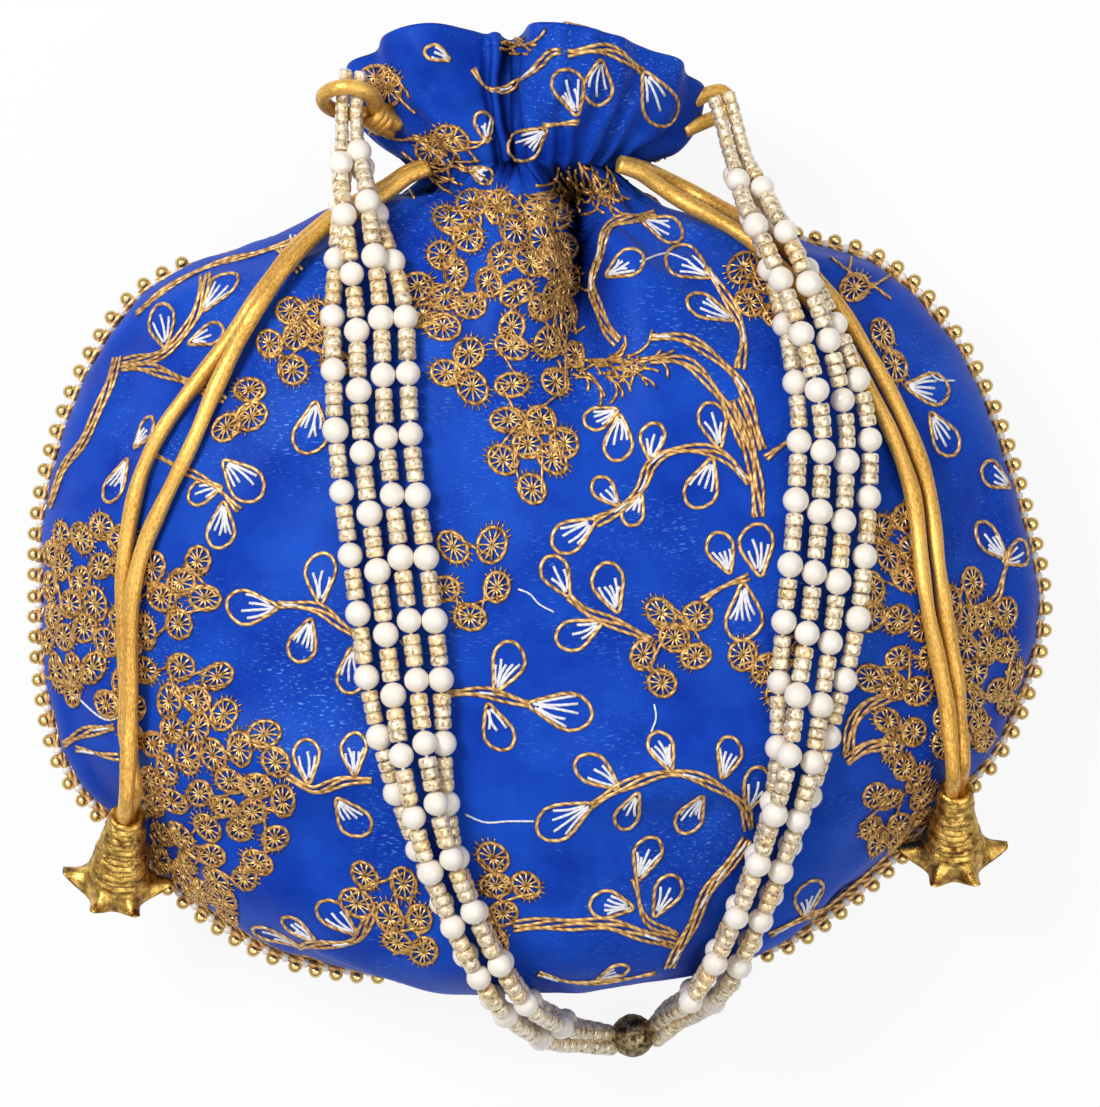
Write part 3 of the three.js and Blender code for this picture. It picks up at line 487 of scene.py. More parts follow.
def along(values, position):
    """Rows of numbers at fractional indexes, on a smooth curve through them."""
    last = len(values) - 1
    index = np.clip(np.floor(position).astype(int), 0, last - 1)
    step = (position - index)[..., None]
    before = values[np.maximum(index - 1, 0)]
    start = values[index]
    end = values[index + 1]
    after = values[np.minimum(index + 2, last)]
    slope_start = (end - before) / 2
    slope_end = (after - start) / 2
    cube = 2 * (start - end) + slope_start + slope_end
    square = 3 * (end - start) - 2 * slope_start - slope_end
    return ((cube * step + square) * step + slope_start) * step + start


def fold_depth(folds, x, y):
    """Depth of a set of folds at places on the cloth."""
    depth = np.zeros_like(x)
    for start, end, width, deep in folds:
        run = np.subtract(end, start)
        share = ((x - start[0]) * run[0] + (y - start[1]) * run[1]) / (run @ run)
        held = np.clip(share, 0, 1)
        apart = np.hypot(x - start[0] - run[0] * held, y - start[1] - run[1] * held)
        depth += deep * (1 - smooth(held)) * np.exp(-(apart / (width * (1 + held))) ** 2)
    return depth


def pleat_lean(x, y):
    """How far the crest beside the first front fold leans over it."""
    start, end = np.array(FRONT_FOLDS[0][0]), np.array(FRONT_FOLDS[0][1])
    length = np.linalg.norm(end - start)
    run = (end - start) / length
    share = ((x - start[0]) * run[0] + (y - start[1]) * run[1]) / length
    beside = (x - start[0]) * run[1] - (y - start[1]) * run[0]
    crest = np.exp(-((beside - PLEAT_CREST) / PLEAT_CREST) ** 2)
    return PLEAT_LEAN * crest * (1 - smooth(share / PLEAT_END)) * smooth(share / PLEAT_ENTRY + PLEAT_START)


def body_points(station, angle):
    """Points of the stuffed body at stations and at angles round the section from the right edge."""
    read = along(STATIONS, station)
    share = (1 + np.cos(angle)) / 2
    x = read[..., 0] + (read[..., 2] - read[..., 0]) * share
    y = read[..., 1] + (read[..., 3] - read[..., 1]) * share
    seam = SEAM_HEIGHT + read[..., 4]
    swell = np.abs(np.sin(angle))
    lift = FRONT_RISE * read[..., 5] * swell ** FRONT_FULLNESS
    front_z = seam + lift - fold_depth(FRONT_FOLDS, x, y) * swell
    above_trim = smooth((lift - BALL_DIAMETER) / OVERHANG_HEIGHT)
    overhang = FOOT_OVERHANG * above_trim * (1 - smooth(station / FOOT_STATIONS))
    drop = BACK_DROP * read[..., 6] * swell ** BACK_FULLNESS
    back_z = np.maximum(seam - drop + fold_depth(BACK_FOLDS, x, y) * swell, 0)
    front = np.sin(angle) >= 0
    front_x = x + pleat_lean(x, y) * swell
    return np.stack([
        np.where(front, front_x, x), np.where(front, y - overhang, y), np.where(front, front_z, back_z)], -1)


def ruffle_points(share, angle, inset):
    """Points of the ruffle from the neck at 0 to the rim at 1, on the outer cloth or inset from it."""
    swell = np.abs(np.sin(angle))
    opened = np.sin(share * math.pi / 2)
    fold = np.zeros_like(angle)
    for at, width, depth in RUFFLE_FOLDS:
        apart = np.abs((np.degrees(angle) - at + 180) % 360 - 180)
        fold += depth * np.exp(-(apart / width) ** 2)
    inward = inset + fold * (FOLD_AT_NECK + (1 - FOLD_AT_NECK) * share)
    half_width = NECK_HALF_WIDTH + (RUFFLE_HALF_WIDTH - NECK_HALF_WIDTH) * opened - inward
    half_depth = NECK_HALF_DEPTH + (RUFFLE_HALF_DEPTH - NECK_HALF_DEPTH) * opened - inward
    side_rise = RUFFLE_SIDE_RISE * share ** SIDE_GROWTH
    rise = side_rise + (RUFFLE_FRONT_RISE * share - side_rise) * swell ** FRONT_ROUNDNESS
    rise = rise - FOLD_DIP * fold * share
    rise = rise - LOBE_DROP * share * smooth(0.5 + np.cos(angle))
    return np.stack([
        NECK_X + half_width * np.cos(angle), NECK_Y + rise, NECK_HEIGHT + half_depth * np.sin(angle)], -1)


def directions(vectors):
    """Vectors brought to a length of 1."""
    return vectors / np.maximum(np.linalg.norm(vectors, axis=-1, keepdims=True), 1e-9)


def normals_of(grid):
    """Normals of a closed tube of points, rings by columns, facing out."""
    across = np.roll(grid, -1, 1) - np.roll(grid, 1, 1)
    ahead = np.gradient(grid, axis=0)
    return directions(np.cross(ahead, across))


def wrinkle(grid, station):
    """Fine relief of the cloth: soft undulations, puckers along the seam and gathers at the neck."""
    x, y, z = grid[..., 0], grid[..., 1], grid[..., 2]
    waves = sum(
        height * np.array([noise.noise(Vector(place)) for place in (grid / length).reshape(-1, 3)])
        for length, height in WAVES).reshape(x.shape)
    from_seam = np.abs(z - SEAM_HEIGHT)
    along_seam = np.arctan2(y, x) * 100
    puckers = PUCKER_HEIGHT * np.sin(along_seam / PUCKER_WAVE + 2 * waves) * np.exp(-from_seam / PUCKER_REACH)
    neck_angle = np.arctan2(z - NECK_HEIGHT, x - NECK_X)
    to_neck = np.hypot(x - NECK_X, y - NECK_Y)
    near = np.exp(-((to_neck - GATHER_START) / GATHER_REACH) ** 2)
    gathers = GATHER_HEIGHT * np.sin(neck_angle * GATHER_COUNT + 5 * waves) * near
    on_table = np.where(z < 1, 0.1, 1)
    held = smooth(station / 0.5)
    return (WAVE_HEIGHT * waves + puckers + gathers) * on_table * held


def blurred(field, times):
    """A field of rings by columns, evened out over its neighbours; the columns close on themselves."""
    for _ in range(times):
        field = (np.roll(field, 1, 1) + 2 * field + np.roll(field, -1, 1)) / 4
        inner = (field[:-2] + 2 * field[1:-1] + field[2:]) / 4
        field = np.concatenate([field[:1], inner, field[-1:]])
    return field


def settled_relief(grid):
    """Creases of the filled cloth: the body is blown up as a cloth a little too large for its shape."""
    coarse = grid[::SETTLE_STEP, ::SETTLE_STEP]
    rings, columns = coarse.shape[:2]
    mesh = bpy.data.meshes.new("settling")
    mesh.from_pydata((coarse.reshape(-1, 3) * MM).tolist(), [], grid_faces(rings, columns))
    cloth = bpy.data.objects.new("settling", mesh)
    bpy.context.scene.collection.objects.link(cloth)
    held = cloth.vertex_groups.new(name="held")
    index = np.arange(rings * columns).reshape(rings, columns)
    edges = np.concatenate([index[0], index[-1], index[:, 0], index[:, columns // 2]])
    held.add([int(i) for i in edges], 1, "REPLACE")
    settings = cloth.modifiers.new("cloth", "CLOTH").settings
    settings.quality = 6
    settings.mass = 0.2
    settings.tension_stiffness = 12
    settings.compression_stiffness = 12
    settings.shear_stiffness = 4
    settings.bending_stiffness = 0.4
    settings.use_pressure = True
    settings.uniform_pressure_force = PRESSURE
    settings.shrink_min = -CLOTH_EXCESS
    settings.vertex_group_mass = "held"
    settings.effector_weights.gravity = 0
    for frame_number in range(1, SETTLE_FRAMES + 1):
        bpy.context.scene.frame_set(frame_number)
    view = bpy.context.evaluated_depsgraph_get()
    moved = np.empty(rings * columns * 3)
    cloth.evaluated_get(view).data.vertices.foreach_get("co", moved)
    moved = moved.reshape(rings, columns, 3) / MM - coarse
    bpy.context.scene.frame_set(1)
    bpy.data.objects.remove(cloth)
    along_normal = (moved * normals_of(coarse)).sum(-1)
    ripples = blurred(along_normal - blurred(along_normal, 30), 1)
    ripples = SETTLED_RELIEF * np.tanh(ripples / SETTLED_RELIEF)
    rows = np.arange(len(grid)) / SETTLE_STEP
    places = np.arange(grid.shape[1]) / SETTLE_STEP
    closed = np.concatenate([ripples, ripples[:, :1]], 1)
    across = np.stack([np.interp(places, np.arange(columns + 1), row) for row in closed])
    fine = np.stack([np.interp(rows, np.arange(rings), column) for column in across.T], 1)
    return blurred(fine, 4)


def pouch_grids():
    """The outer cloth, from the foot to the rim, and the inner cloth down to the gathers."""
    angles = np.linspace(0, 2 * math.pi, POUCH_COLUMNS, endpoint=False)[None, :]
    last_station = len(STATIONS) - 1
    stations = last_station * np.linspace(0, 1, BODY_RINGS + 1)[1:, None]
    shares = np.linspace(0, 1, RUFFLE_RINGS + 1)[1:, None]
    body = body_points(stations + 0 * angles, angles + 0 * stations)
    outer = ruffle_points(shares + 0 * angles, angles + 0 * shares, 0 * shares)
    grid = np.concatenate([body, outer])
    held = np.concatenate([stations[:, 0], np.full(RUFFLE_RINGS, last_station)])[:, None]
    normals = normals_of(grid)
    outward = normals[..., :2] / np.maximum(np.linalg.norm(normals[..., :2], axis=-1, keepdims=True), 0.2)
    off_seam = np.abs(grid[..., 2] - SEAM_HEIGHT) / SWELL_HEIGHT
    swell = SEAM_SWELL * off_seam * np.exp(1 - off_seam) * smooth(held / FOOT_STATIONS)
    swell = swell * (1 - smooth((held - SWELL_END) / SWELL_FADE))
    over_seam = (grid[..., 2] - SEAM_HEIGHT - SHOULDER_START) / SHOULDER_HEIGHT
    bulge = np.where(over_seam > 0, over_seam * np.exp(1 - over_seam), 0)
    comes, goes = (smooth((held - start) / length) for start, length in (SHOULDER_COMES, SHOULDER_GOES))
    swell = swell + bulge * (comes * (1 - goes)) * np.where(np.cos(angles) < 0, *SHOULDER_SWELLS)
    relief = wrinkle(grid, held)
    relief[:BODY_RINGS] += settled_relief(grid[:BODY_RINGS])
    grid = grid + normals * relief[..., None]
    grid[..., :2] += outward * swell[..., None]
    grid[..., 2] = np.maximum(grid[..., 2], 0)
    inner_shares = np.linspace(0.97, 0.12, INNER_RINGS)[:, None]
    inner = ruffle_points(inner_shares + 0 * angles, angles + 0 * inner_shares, CLOTH + 0 * inner_shares)
    return grid, inner


def mesh_object(name, points, faces, material, uvs=None, replaced=()):
    """A smooth mesh in metres from points in millimetres, riding on the part's one body."""
    mesh = bpy.data.meshes.new(name)
    mesh.from_pydata((np.asarray(points) * MM).tolist(), [], faces)
    mesh.validate()
    if uvs is not None:
        layer = mesh.uv_layers.new(name="UVMap")
        index = np.empty(len(mesh.loops), int)
        mesh.loops.foreach_get("vertex_index", index)
        layer.data.foreach_set("uv", np.asarray(uvs, np.float32)[index].ravel())
    mesh.polygons.foreach_set("use_smooth", [True] * len(mesh.polygons))
    mesh.materials.append(material)
    piece = bpy.data.objects.new(name, mesh)
    bpy.context.scene.collection.objects.link(piece)
    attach(piece, "root")
    if replaced:
        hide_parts(*replaced)
    return piece


def grid_faces(rings, columns):
    """Faces of rings of points that close on themselves."""
    ring, column = np.meshgrid(np.arange(rings - 1), np.arange(columns), indexing="ij")
    a = ring * columns + column
    b = ring * columns + (column + 1) % columns
    return np.stack([a, b, b + columns, a + columns], -1).reshape(-1, 4).tolist()


def capped_faces(rings, columns):
    """Faces of rings of points that close on themselves, with one more face over each end."""
    last = (rings - 1) * columns
    return [*grid_faces(rings, columns), list(range(columns))[::-1], [last + i for i in range(columns)]]


class Gather:
    """Gathers many small shapes into the points, faces and texture places of one mesh."""

    def __init__(self):
        self.points = []
        self.uvs = []
        self.faces = []
        self.count = 0

    def add(self, points, faces, uvs=None):
        """Takes in one shape."""
        points = np.asarray(points)
        self.points.append(points)
        self.uvs.append(np.zeros((len(points), 2)) if uvs is None else np.asarray(uvs))
        self.faces.extend([[self.count + i for i in face] for face in faces])
        self.count += len(points)

    def tube(self, line, radius, sides=5, up=None, flat=1.0, closed=False):
        """A tube along a line. up holds the direction away from the cloth, and flat squeezes it that way."""
        line = np.asarray(line, float)
        count = len(line)
        if closed:
            ahead = np.roll(line, -1, 0) - np.roll(line, 1, 0)
        else:
            ahead = np.gradient(line, axis=0)
        ahead = directions(ahead)
        up = np.tile((0.0, 0.0, 1.0), (count, 1)) if up is None else np.asarray(up, float)
        side = np.cross(ahead, up)
        short = np.linalg.norm(side, axis=1) < 1e-3
        side[short] = np.cross(ahead[short], (0.0, 1.0, 0.0))
        side = directions(side)
        over = np.cross(side, ahead)
        radius = np.broadcast_to(radius, count)[:, None, None]
        turn = np.arange(sides) * 2 * math.pi / sides - math.pi / 2 + math.pi / sides
        cosine, sine = np.cos(turn)[None, :, None], np.sin(turn)[None, :, None]
        ring = cosine * side[:, None] + flat * sine * over[:, None]
        points = (line[:, None] + radius * ring).reshape(-1, 3)
        steps = np.linalg.norm(np.diff(line, axis=0, prepend=line[:1]), axis=1)
        u = np.repeat(np.cumsum(steps), sides)
        v = np.tile(np.arange(sides) / sides, count)
        if closed:
            last = (count - 1) * sides
            joins = [[last + i, last + (i + 1) % sides, (i + 1) % sides, i] for i in range(sides)]
            faces = grid_faces(count, sides) + joins
        else:
            faces = capped_faces(count, sides)
        self.add(points, faces, np.stack([u, v], -1))

    def turned(self, profile, centre, axis, columns=12):
        """A turned shape: profile holds the place along the axis and the radius, end to end."""
        axis = np.asarray(axis, float) / np.linalg.norm(axis)
        helper = (0.0, 0.0, 1.0) if abs(axis[2]) < 0.9 else (0.0, 1.0, 0.0)
        side = np.cross(helper, axis)
        side /= np.linalg.norm(side)
        over = np.cross(axis, side)
        turn = np.arange(columns) * 2 * math.pi / columns
        around = np.cos(turn)[:, None] * side + np.sin(turn)[:, None] * over
        place = np.asarray(profile, float)
        rings = place[:, 0, None, None] * axis + place[:, 1, None, None] * around[None]
        points = rings.reshape(-1, 3)
        u = np.repeat(place[:, 0], columns)
        v = np.tile(np.arange(columns) / columns, len(profile))
        self.add(points + np.asarray(centre), capped_faces(len(profile), columns), np.stack([u, v], -1))

    def make(self, name, material, replaced=()):
        """The one piece that all the shapes make up."""
        return mesh_object(
            name, np.concatenate(self.points), self.faces, material, np.concatenate(self.uvs), replaced)


def ball_profile(diameter, steps=8):
    """Profile of a ball, from one pole to the other."""
    turn = np.linspace(0.12, math.pi - 0.12, steps)
    return [(-math.cos(t) * diameter / 2, math.sin(t) * diameter / 2) for t in turn]


def seed_profile(diameter, length):
    """Profile of a seed bead, with rounded edges."""
    half = length / 2
    radius = diameter / 2
    return [
        (-half, radius * 0.7), (-half * 0.94, radius * 0.88), (-half * 0.6, radius * 0.99), (0, radius),
        (half * 0.6, radius * 0.99), (half * 0.94, radius * 0.88), (half, radius * 0.7),
    ]


def spline(points, step):
    """Evenly spaced points on a smooth curve through the given ones."""
    points = np.asarray(points, float)
    padded = np.vstack([2 * points[0] - points[1], points, 2 * points[-1] - points[-2]])
    fine = []
    for i in range(1, len(padded) - 2):
        p = padded[i - 1:i + 3]
        gaps = np.maximum(np.linalg.norm(np.diff(p, axis=0), axis=1) ** 0.5, 1e-4)
        t = np.concatenate([[0], np.cumsum(gaps)])
        u = np.linspace(t[1], t[2], 12, endpoint=False)[:, None]
        a = [(t[j + 1] - u) / gaps[j] * p[j] + (u - t[j]) / gaps[j] * p[j + 1] for j in range(3)]
        wide = [t[2] - t[0], t[3] - t[1]]
        b = [(t[j + 2] - u) / wide[j] * a[j] + (u - t[j]) / wide[j] * a[j + 1] for j in range(2)]
        fine.append((t[2] - u) / gaps[1] * b[0] + (u - t[1]) / gaps[1] * b[1])
    fine.append(points[-1:])
    return respace(np.concatenate(fine), step)


def respace(line, step):
    """The same line at even steps, ends kept."""
    run = np.concatenate([[0], np.cumsum(np.linalg.norm(np.diff(line, axis=0), axis=1))])
    stops = np.linspace(0, run[-1], max(2, math.ceil(run[-1] / step) + 1))
    return np.stack([np.interp(stops, run, line[:, i]) for i in range(line.shape[1])], -1)


def run_of(line):
    """Distance along a line at each of its points."""
    return np.concatenate([[0], np.cumsum(np.linalg.norm(np.diff(line, axis=0), axis=1))])


def unit(vector):
    """The vector's direction."""
    return vector / np.linalg.norm(vector)


# Materials

def new_material(name):
    """An empty material with its shader, and short ways to add and link nodes."""
    material = bpy.data.materials.new(name)
    material.use_nodes = True
    nodes = material.node_tree.nodes
    shader = nodes["Principled BSDF"]

    def add(kind, values=None, **settings):
        node = nodes.new(kind)
        for key, value in settings.items():
            setattr(node, key, value)
        for key, value in (values or {}).items():
            node.inputs[key].default_value = value
        return node

    def link(source, output, target, entry):
        material.node_tree.links.new(source.outputs[output], target.inputs[entry])

    return material, shader, add, link


def set_shader(shader, **values):
    """Sets constants on the shader's own sockets."""
    for key, value in values.items():
        shader.inputs[key.replace("_", " ")].default_value = value


def ramp(add, stops):
    """A colour ramp node with the given places and colours."""
    node = add("ShaderNodeValToRGB")
    elements = node.color_ramp.elements
    for element, (place, colour) in zip(elements, stops):
        element.position = place
        element.color = (*colour, 1)
    for place, colour in stops[2:]:
        elements.new(place).color = (*colour, 1)
    return node


def satin_material():
    """Royal blue satin: a fine weave, cloudy tone partly painted sheen, tiny painted glints, painted shade in
    folds.
    """
    material, shader, add, link = new_material("blue_satin")
    place = add("ShaderNodeTexCoord")
    # Cloudy tone: partly the satin's own uneven colour, and its lighter patches are painted sheen
    tone_and_painted_sheen = add("ShaderNodeTexNoise", {"Scale": 55, "Detail": 4, "Roughness": 0.6})
    link(place, "Object", tone_and_painted_sheen, "Vector")
    tone = ramp(add, [(0.3, (0.003, 0.03, 0.36)), (0.7, (0.01, 0.078, 0.56))])
    link(tone_and_painted_sheen, "Fac", tone, "Fac")
    # Painted glints: thin streaks of pale blue mixed into the colour in sparse patches
    stretched = add("ShaderNodeMapping")
    stretched.inputs["Scale"].default_value = (620, 2500, 2500)
    stretched.inputs["Rotation"].default_value = (0, 0, 0.25)
    link(place, "Object", stretched, "Vector")
    painted_glint_noise = add("ShaderNodeTexNoise", {"Scale": 1, "Detail": 2})
    link(stretched, "Vector", painted_glint_noise, "Vector")
    painted_glint_mask = ramp(add, [(0.6, (0, 0, 0)), (0.72, (1, 1, 1))])
    link(painted_glint_noise, "Fac", painted_glint_mask, "Fac")
    lit = add("ShaderNodeMix", {"B": (0.2, 0.5, 1, 1)}, data_type="RGBA")
    patches = add("ShaderNodeTexNoise", {"Scale": 38, "Detail": 3})
    link(place, "Object", patches, "Vector")
    thin = add("ShaderNodeMapRange", {"From Min": 0.45, "From Max": 0.7, "To Max": 0.7})
    link(patches, "Fac", thin, "Value")
    both = add("ShaderNodeMath", operation="MULTIPLY")
    link(thin, "Result", both, 0)
    link(painted_glint_mask, "Color", both, 1)
    link(both, "Value", lit, 0)
    link(tone, "Color", lit, 6)
    # Painted shade: ambient occlusion darkens the colour in folds and where the cloth closes in on itself
    painted_crease_shade = add("ShaderNodeAmbientOcclusion", {"Distance": CREASE_SHADE_REACH}, samples=8, only_local=True)
    depth = ramp(add, [(0.2, (0.08, 0.06, 0.12)), (0.85, (1, 1, 1))])
    link(painted_crease_shade, "AO", depth, "Fac")
    with_painted_shade = add("ShaderNodeMix", {0: 1.0}, data_type="RGBA", blend_type="MULTIPLY")
    link(lit, 2, with_painted_shade, 6)
    link(depth, "Color", with_painted_shade, 7)
    link(with_painted_shade, 2, shader, "Base Color")
    upright = add("ShaderNodeMapping")
    upright.inputs["Scale"].default_value = (1600, 260, 1600)
    link(place, "Object", upright, "Vector")
    weave = add("ShaderNodeTexNoise", {"Scale": 1, "Detail": 3})
    link(upright, "Vector", weave, "Vector")
    bump = add("ShaderNodeBump", {"Strength": 0.22, "Distance": 0.0003})
    link(weave, "Fac", bump, "Height")
    link(bump, "Normal", shader, "Normal")
    shine = add("ShaderNodeMapRange", {"To Min": 0.36, "To Max": 0.56})
    link(tone_and_painted_sheen, "Fac", shine, "Value")
    link(shine, "Result", shader, "Roughness")
    set_shader(shader, Specular_IOR_Level=0.18, Sheen_Weight=0.02, Sheen_Roughness=0.4)
    shader.inputs["Specular Tint"].default_value = (0.3, 0.6, 1, 1)
    shader.inputs["Sheen Tint"].default_value = (0.2, 0.45, 1, 1)
    return material


def thread_material(name, dark, light, metallic, roughness, pitch):
    """Twisted thread: its plies run round it with painted crest highlights and groove shade, and its colour
    wanders.
    """
    material, shader, add, link = new_material(name)
    uv = add("ShaderNodeUVMap", uv_map="UVMap")
    split = add("ShaderNodeSeparateXYZ")
    link(uv, "UV", split, "Vector")
    along_thread = add("ShaderNodeMath", {1: 1 / pitch}, operation="MULTIPLY")
    link(split, "X", along_thread, 0)
    around = add("ShaderNodeMath", {1: 2.0}, operation="MULTIPLY")
    link(split, "Y", around, 0)
    phase = add("ShaderNodeMath", operation="ADD")
    link(along_thread, "Value", phase, 0)
    link(around, "Value", phase, 1)
    turn = add("ShaderNodeMath", {1: 2 * math.pi}, operation="MULTIPLY")
    link(phase, "Value", turn, 0)
    wave = add("ShaderNodeMath", operation="SINE")
    link(turn, "Value", wave, 0)
    place = add("ShaderNodeTexCoord")
    wander = add("ShaderNodeTexNoise", {"Scale": 420, "Detail": 4, "Roughness": 0.7})
    link(place, "Object", wander, "Vector")
    # Painted highlight and shade: the wave round the plies lightens the colour on their crests and darkens it
    # in their grooves
    painted_ply_shading = add("ShaderNodeMapRange", {"From Min": -1, "From Max": 1, "To Min": -0.12, "To Max": 0.12})
    link(wave, "Value", painted_ply_shading, "Value")
    mixed = add("ShaderNodeMath", operation="ADD")
    link(wander, "Fac", mixed, 0)
    link(painted_ply_shading, "Result", mixed, 1)
    tone = ramp(add, [(0.28, dark), (0.68, light)])
    link(mixed, "Value", tone, "Fac")
    link(tone, "Color", shader, "Base Color")
    bump = add("ShaderNodeBump", {"Strength": 0.6, "Distance": 0.0003})
    link(mixed, "Value", bump, "Height")
    link(bump, "Normal", shader, "Normal")
    set_shader(shader, Metallic=metallic, Roughness=roughness)
    return material


def pearl_material():
    """Warm white pearl with a soft lustre."""
    material, shader, add, link = new_material("pearl")
    place = add("ShaderNodeTexCoord")
    cloud = add("ShaderNodeTexNoise", {"Scale": 260, "Detail": 3})
    link(place, "Object", cloud, "Vector")
    tone = ramp(add, [(0.2, (0.88, 0.79, 0.68)), (0.8, (1.0, 0.95, 0.87))])
    link(cloud, "Fac", tone, "Fac")
    link(tone, "Color", shader, "Base Color")
    rough = add("ShaderNodeMapRange", {"To Min": 0.22, "To Max": 0.38})
    link(cloud, "Fac", rough, "Value")
    link(rough, "Result", shader, "Roughness")
    set_shader(shader, Coat_Weight=0.5, Coat_Roughness=0.12, Sheen_Weight=0.15)
    return material


def seed_material():
    """Clear glass seed beads with a silver or gold lining, and fine dark specks of painted sparkle."""
    material, shader, add, link = new_material("seed_bead_glass")
    island = add("ShaderNodeNewGeometry")
    tone = ramp(add, [(0.0, (0.84, 0.7, 0.48)), (1.0, (0.96, 0.73, 0.38)), (0.5, (1.0, 0.88, 0.65))])
    link(island, "Random Per Island", tone, "Fac")
    place = add("ShaderNodeTexCoord")
    # Painted sparkle: fine dark specks in the colour stand in for the glitter of the lined glass
    speck = add("ShaderNodeTexNoise", {"Scale": 900, "Detail": 3, "Roughness": 0.7})
    link(place, "Object", speck, "Vector")
    shade = ramp(add, [(0.38, (0.46, 0.35, 0.22)), (0.52, (1, 1, 1))])
    link(speck, "Fac", shade, "Fac")
    mix = add("ShaderNodeMix", {0: 1.0}, data_type="RGBA", blend_type="MULTIPLY")
    link(tone, "Color", mix, 6)
    link(shade, "Color", mix, 7)
    link(mix, 2, shader, "Base Color")
    bump = add("ShaderNodeBump", {"Strength": 0.5, "Distance": 0.0003})
    link(speck, "Fac", bump, "Height")
    link(bump, "Normal", shader, "Normal")
    set_shader(shader, Metallic=0.3, Roughness=0.16, Coat_Weight=1.0, Coat_Roughness=0.04)
    return material


def metal_material(name, dark, light, roughness, scale, spread, strength):
    """Gold-coloured metal with its patina in patches and a cast surface."""
    material, shader, add, link = new_material(name)
    place = add("ShaderNodeTexCoord")
    patina = add("ShaderNodeTexNoise", {"Scale": scale, "Detail": 5, "Roughness": 0.65})
    link(place, "Object", patina, "Vector")
    tone = ramp(add, [(0.5 - spread, dark), (0.5 + spread, light)])
    link(patina, "Fac", tone, "Fac")
    link(tone, "Color", shader, "Base Color")
    rough = add("ShaderNodeMapRange", {"To Min": roughness + 0.12, "To Max": roughness - 0.06})
    link(patina, "Fac", rough, "Value")
    link(rough, "Result", shader, "Roughness")
    bump = add("ShaderNodeBump", {"Strength": strength, "Distance": 0.0004})
    link(patina, "Fac", bump, "Height")
    link(bump, "Normal", shader, "Normal")
    set_shader(shader, Metallic=0.95)
    return material


def cord_material():
    """Gold satin cord: fine yarn that runs along it at a slant, in bright and dull flecks, partly painted
    sparkle.
    """
    material, shader, add, link = new_material("gold_satin_cord")
    uv = add("ShaderNodeUVMap", uv_map="UVMap")
    slant = add("ShaderNodeMapping")
    slant.inputs["Scale"].default_value = (0.42, 12, 1)
    slant.inputs["Rotation"].default_value = (0, 0, 0.1)
    link(uv, "UV", slant, "Vector")
    # The slanted flecks are partly the cord's own tone and partly painted sparkle on the satin
    yarns_and_painted_sparkle = add("ShaderNodeTexNoise", {"Scale": 2.2, "Detail": 4, "Roughness": 0.62})
    link(slant, "Vector", yarns_and_painted_sparkle, "Vector")
    place = add("ShaderNodeTexCoord")
    wander = add("ShaderNodeTexNoise", {"Scale": 45, "Detail": 2})
    link(place, "Object", wander, "Vector")
    both = add("ShaderNodeMix", {0: 0.3})
    link(yarns_and_painted_sparkle, "Fac", both, 2)
    link(wander, "Fac", both, 3)
    tone = ramp(add, [(0.38, (0.5, 0.22, 0.018)), (0.6, (0.96, 0.58, 0.13))])
    link(both, 0, tone, "Fac")
    link(tone, "Color", shader, "Base Color")
    bump = add("ShaderNodeBump", {"Strength": 0.45, "Distance": 0.0003})
    link(yarns_and_painted_sparkle, "Fac", bump, "Height")
    link(bump, "Normal", shader, "Normal")
    set_shader(shader, Metallic=0.4, Roughness=0.3, Sheen_Weight=0.06, Sheen_Roughness=0.3)
    shader.inputs["Sheen Tint"].default_value = (1, 0.8, 0.45, 1)
    return material


SATIN = satin_material()
ZARI = thread_material("zari_thread", (0.13, 0.045, 0.01), (0.85, 0.48, 0.14), 0.4, 0.34, 2.1)
BRIGHT_ZARI = thread_material("bright_zari_thread", (0.4, 0.17, 0.03), (1.0, 0.68, 0.24), 0.5, 0.28, 1.6)
PALE_ZARI = thread_material("pale_zari_thread", (0.24, 0.09, 0.018), (0.95, 0.6, 0.22), 0.35, 0.34, 2.3)
WHITE_THREAD = thread_material("white_thread", (0.7, 0.72, 0.8), (0.95, 0.95, 0.96), 0.0, 0.45, 1.6)
CORD = cord_material()
PEARL = pearl_material()
SEED = seed_material()
BALL_GOLD = metal_material("polished_gold", (0.62, 0.4, 0.12), (0.95, 0.72, 0.32), 0.16, 160, 0.3, 0.05)
ANTIQUE = metal_material("antique_gold", (0.16, 0.06, 0.012), (0.96, 0.62, 0.15), 0.24, 420, 0.15, 0.9)
DARK_METAL = metal_material("dark_antique_metal", (0.055, 0.035, 0.02), (0.5, 0.38, 0.2), 0.32, 700, 0.1, 1.0)


# The pouch

def make_pouch():
    """The two cloth panels with the ruffle. The tree that comes back says where rays meet them."""
    grid, inner = pouch_grids()
    everything = np.concatenate([grid, inner])
    rings = len(everything)
    points = everything.reshape(-1, 3)
    faces = grid_faces(rings, POUCH_COLUMNS)
    foot = body_points(np.array([0.0]), np.array([0.0]))[0]
    closure = inner[-1].mean(0)
    closure[1] = NECK_Y + CLOTH
    foot_index = len(points)
    last = (rings - 1) * POUCH_COLUMNS
    for i in range(POUCH_COLUMNS):
        after = (i + 1) % POUCH_COLUMNS
        faces.append([foot_index, after, i])
        faces.append([foot_index + 1, last + i, last + after])
    points = np.vstack([points, foot, closure])
    faces = [face[::-1] for face in faces]
    piece = mesh_object("pouch_cloth", points, faces, SATIN, replaced=("pouch",))
    return BVHTree.FromPolygons(points.tolist(), faces)


cloth_tree = make_pouch()


def struck(origin, direction):
    """Where a ray meets the cloth, and the cloth's normal there."""
    hit, normal, _, _ = cloth_tree.ray_cast(Vector(origin), Vector(direction))
    if hit is None:
        return None, None
    return np.array(hit), np.array(normal)


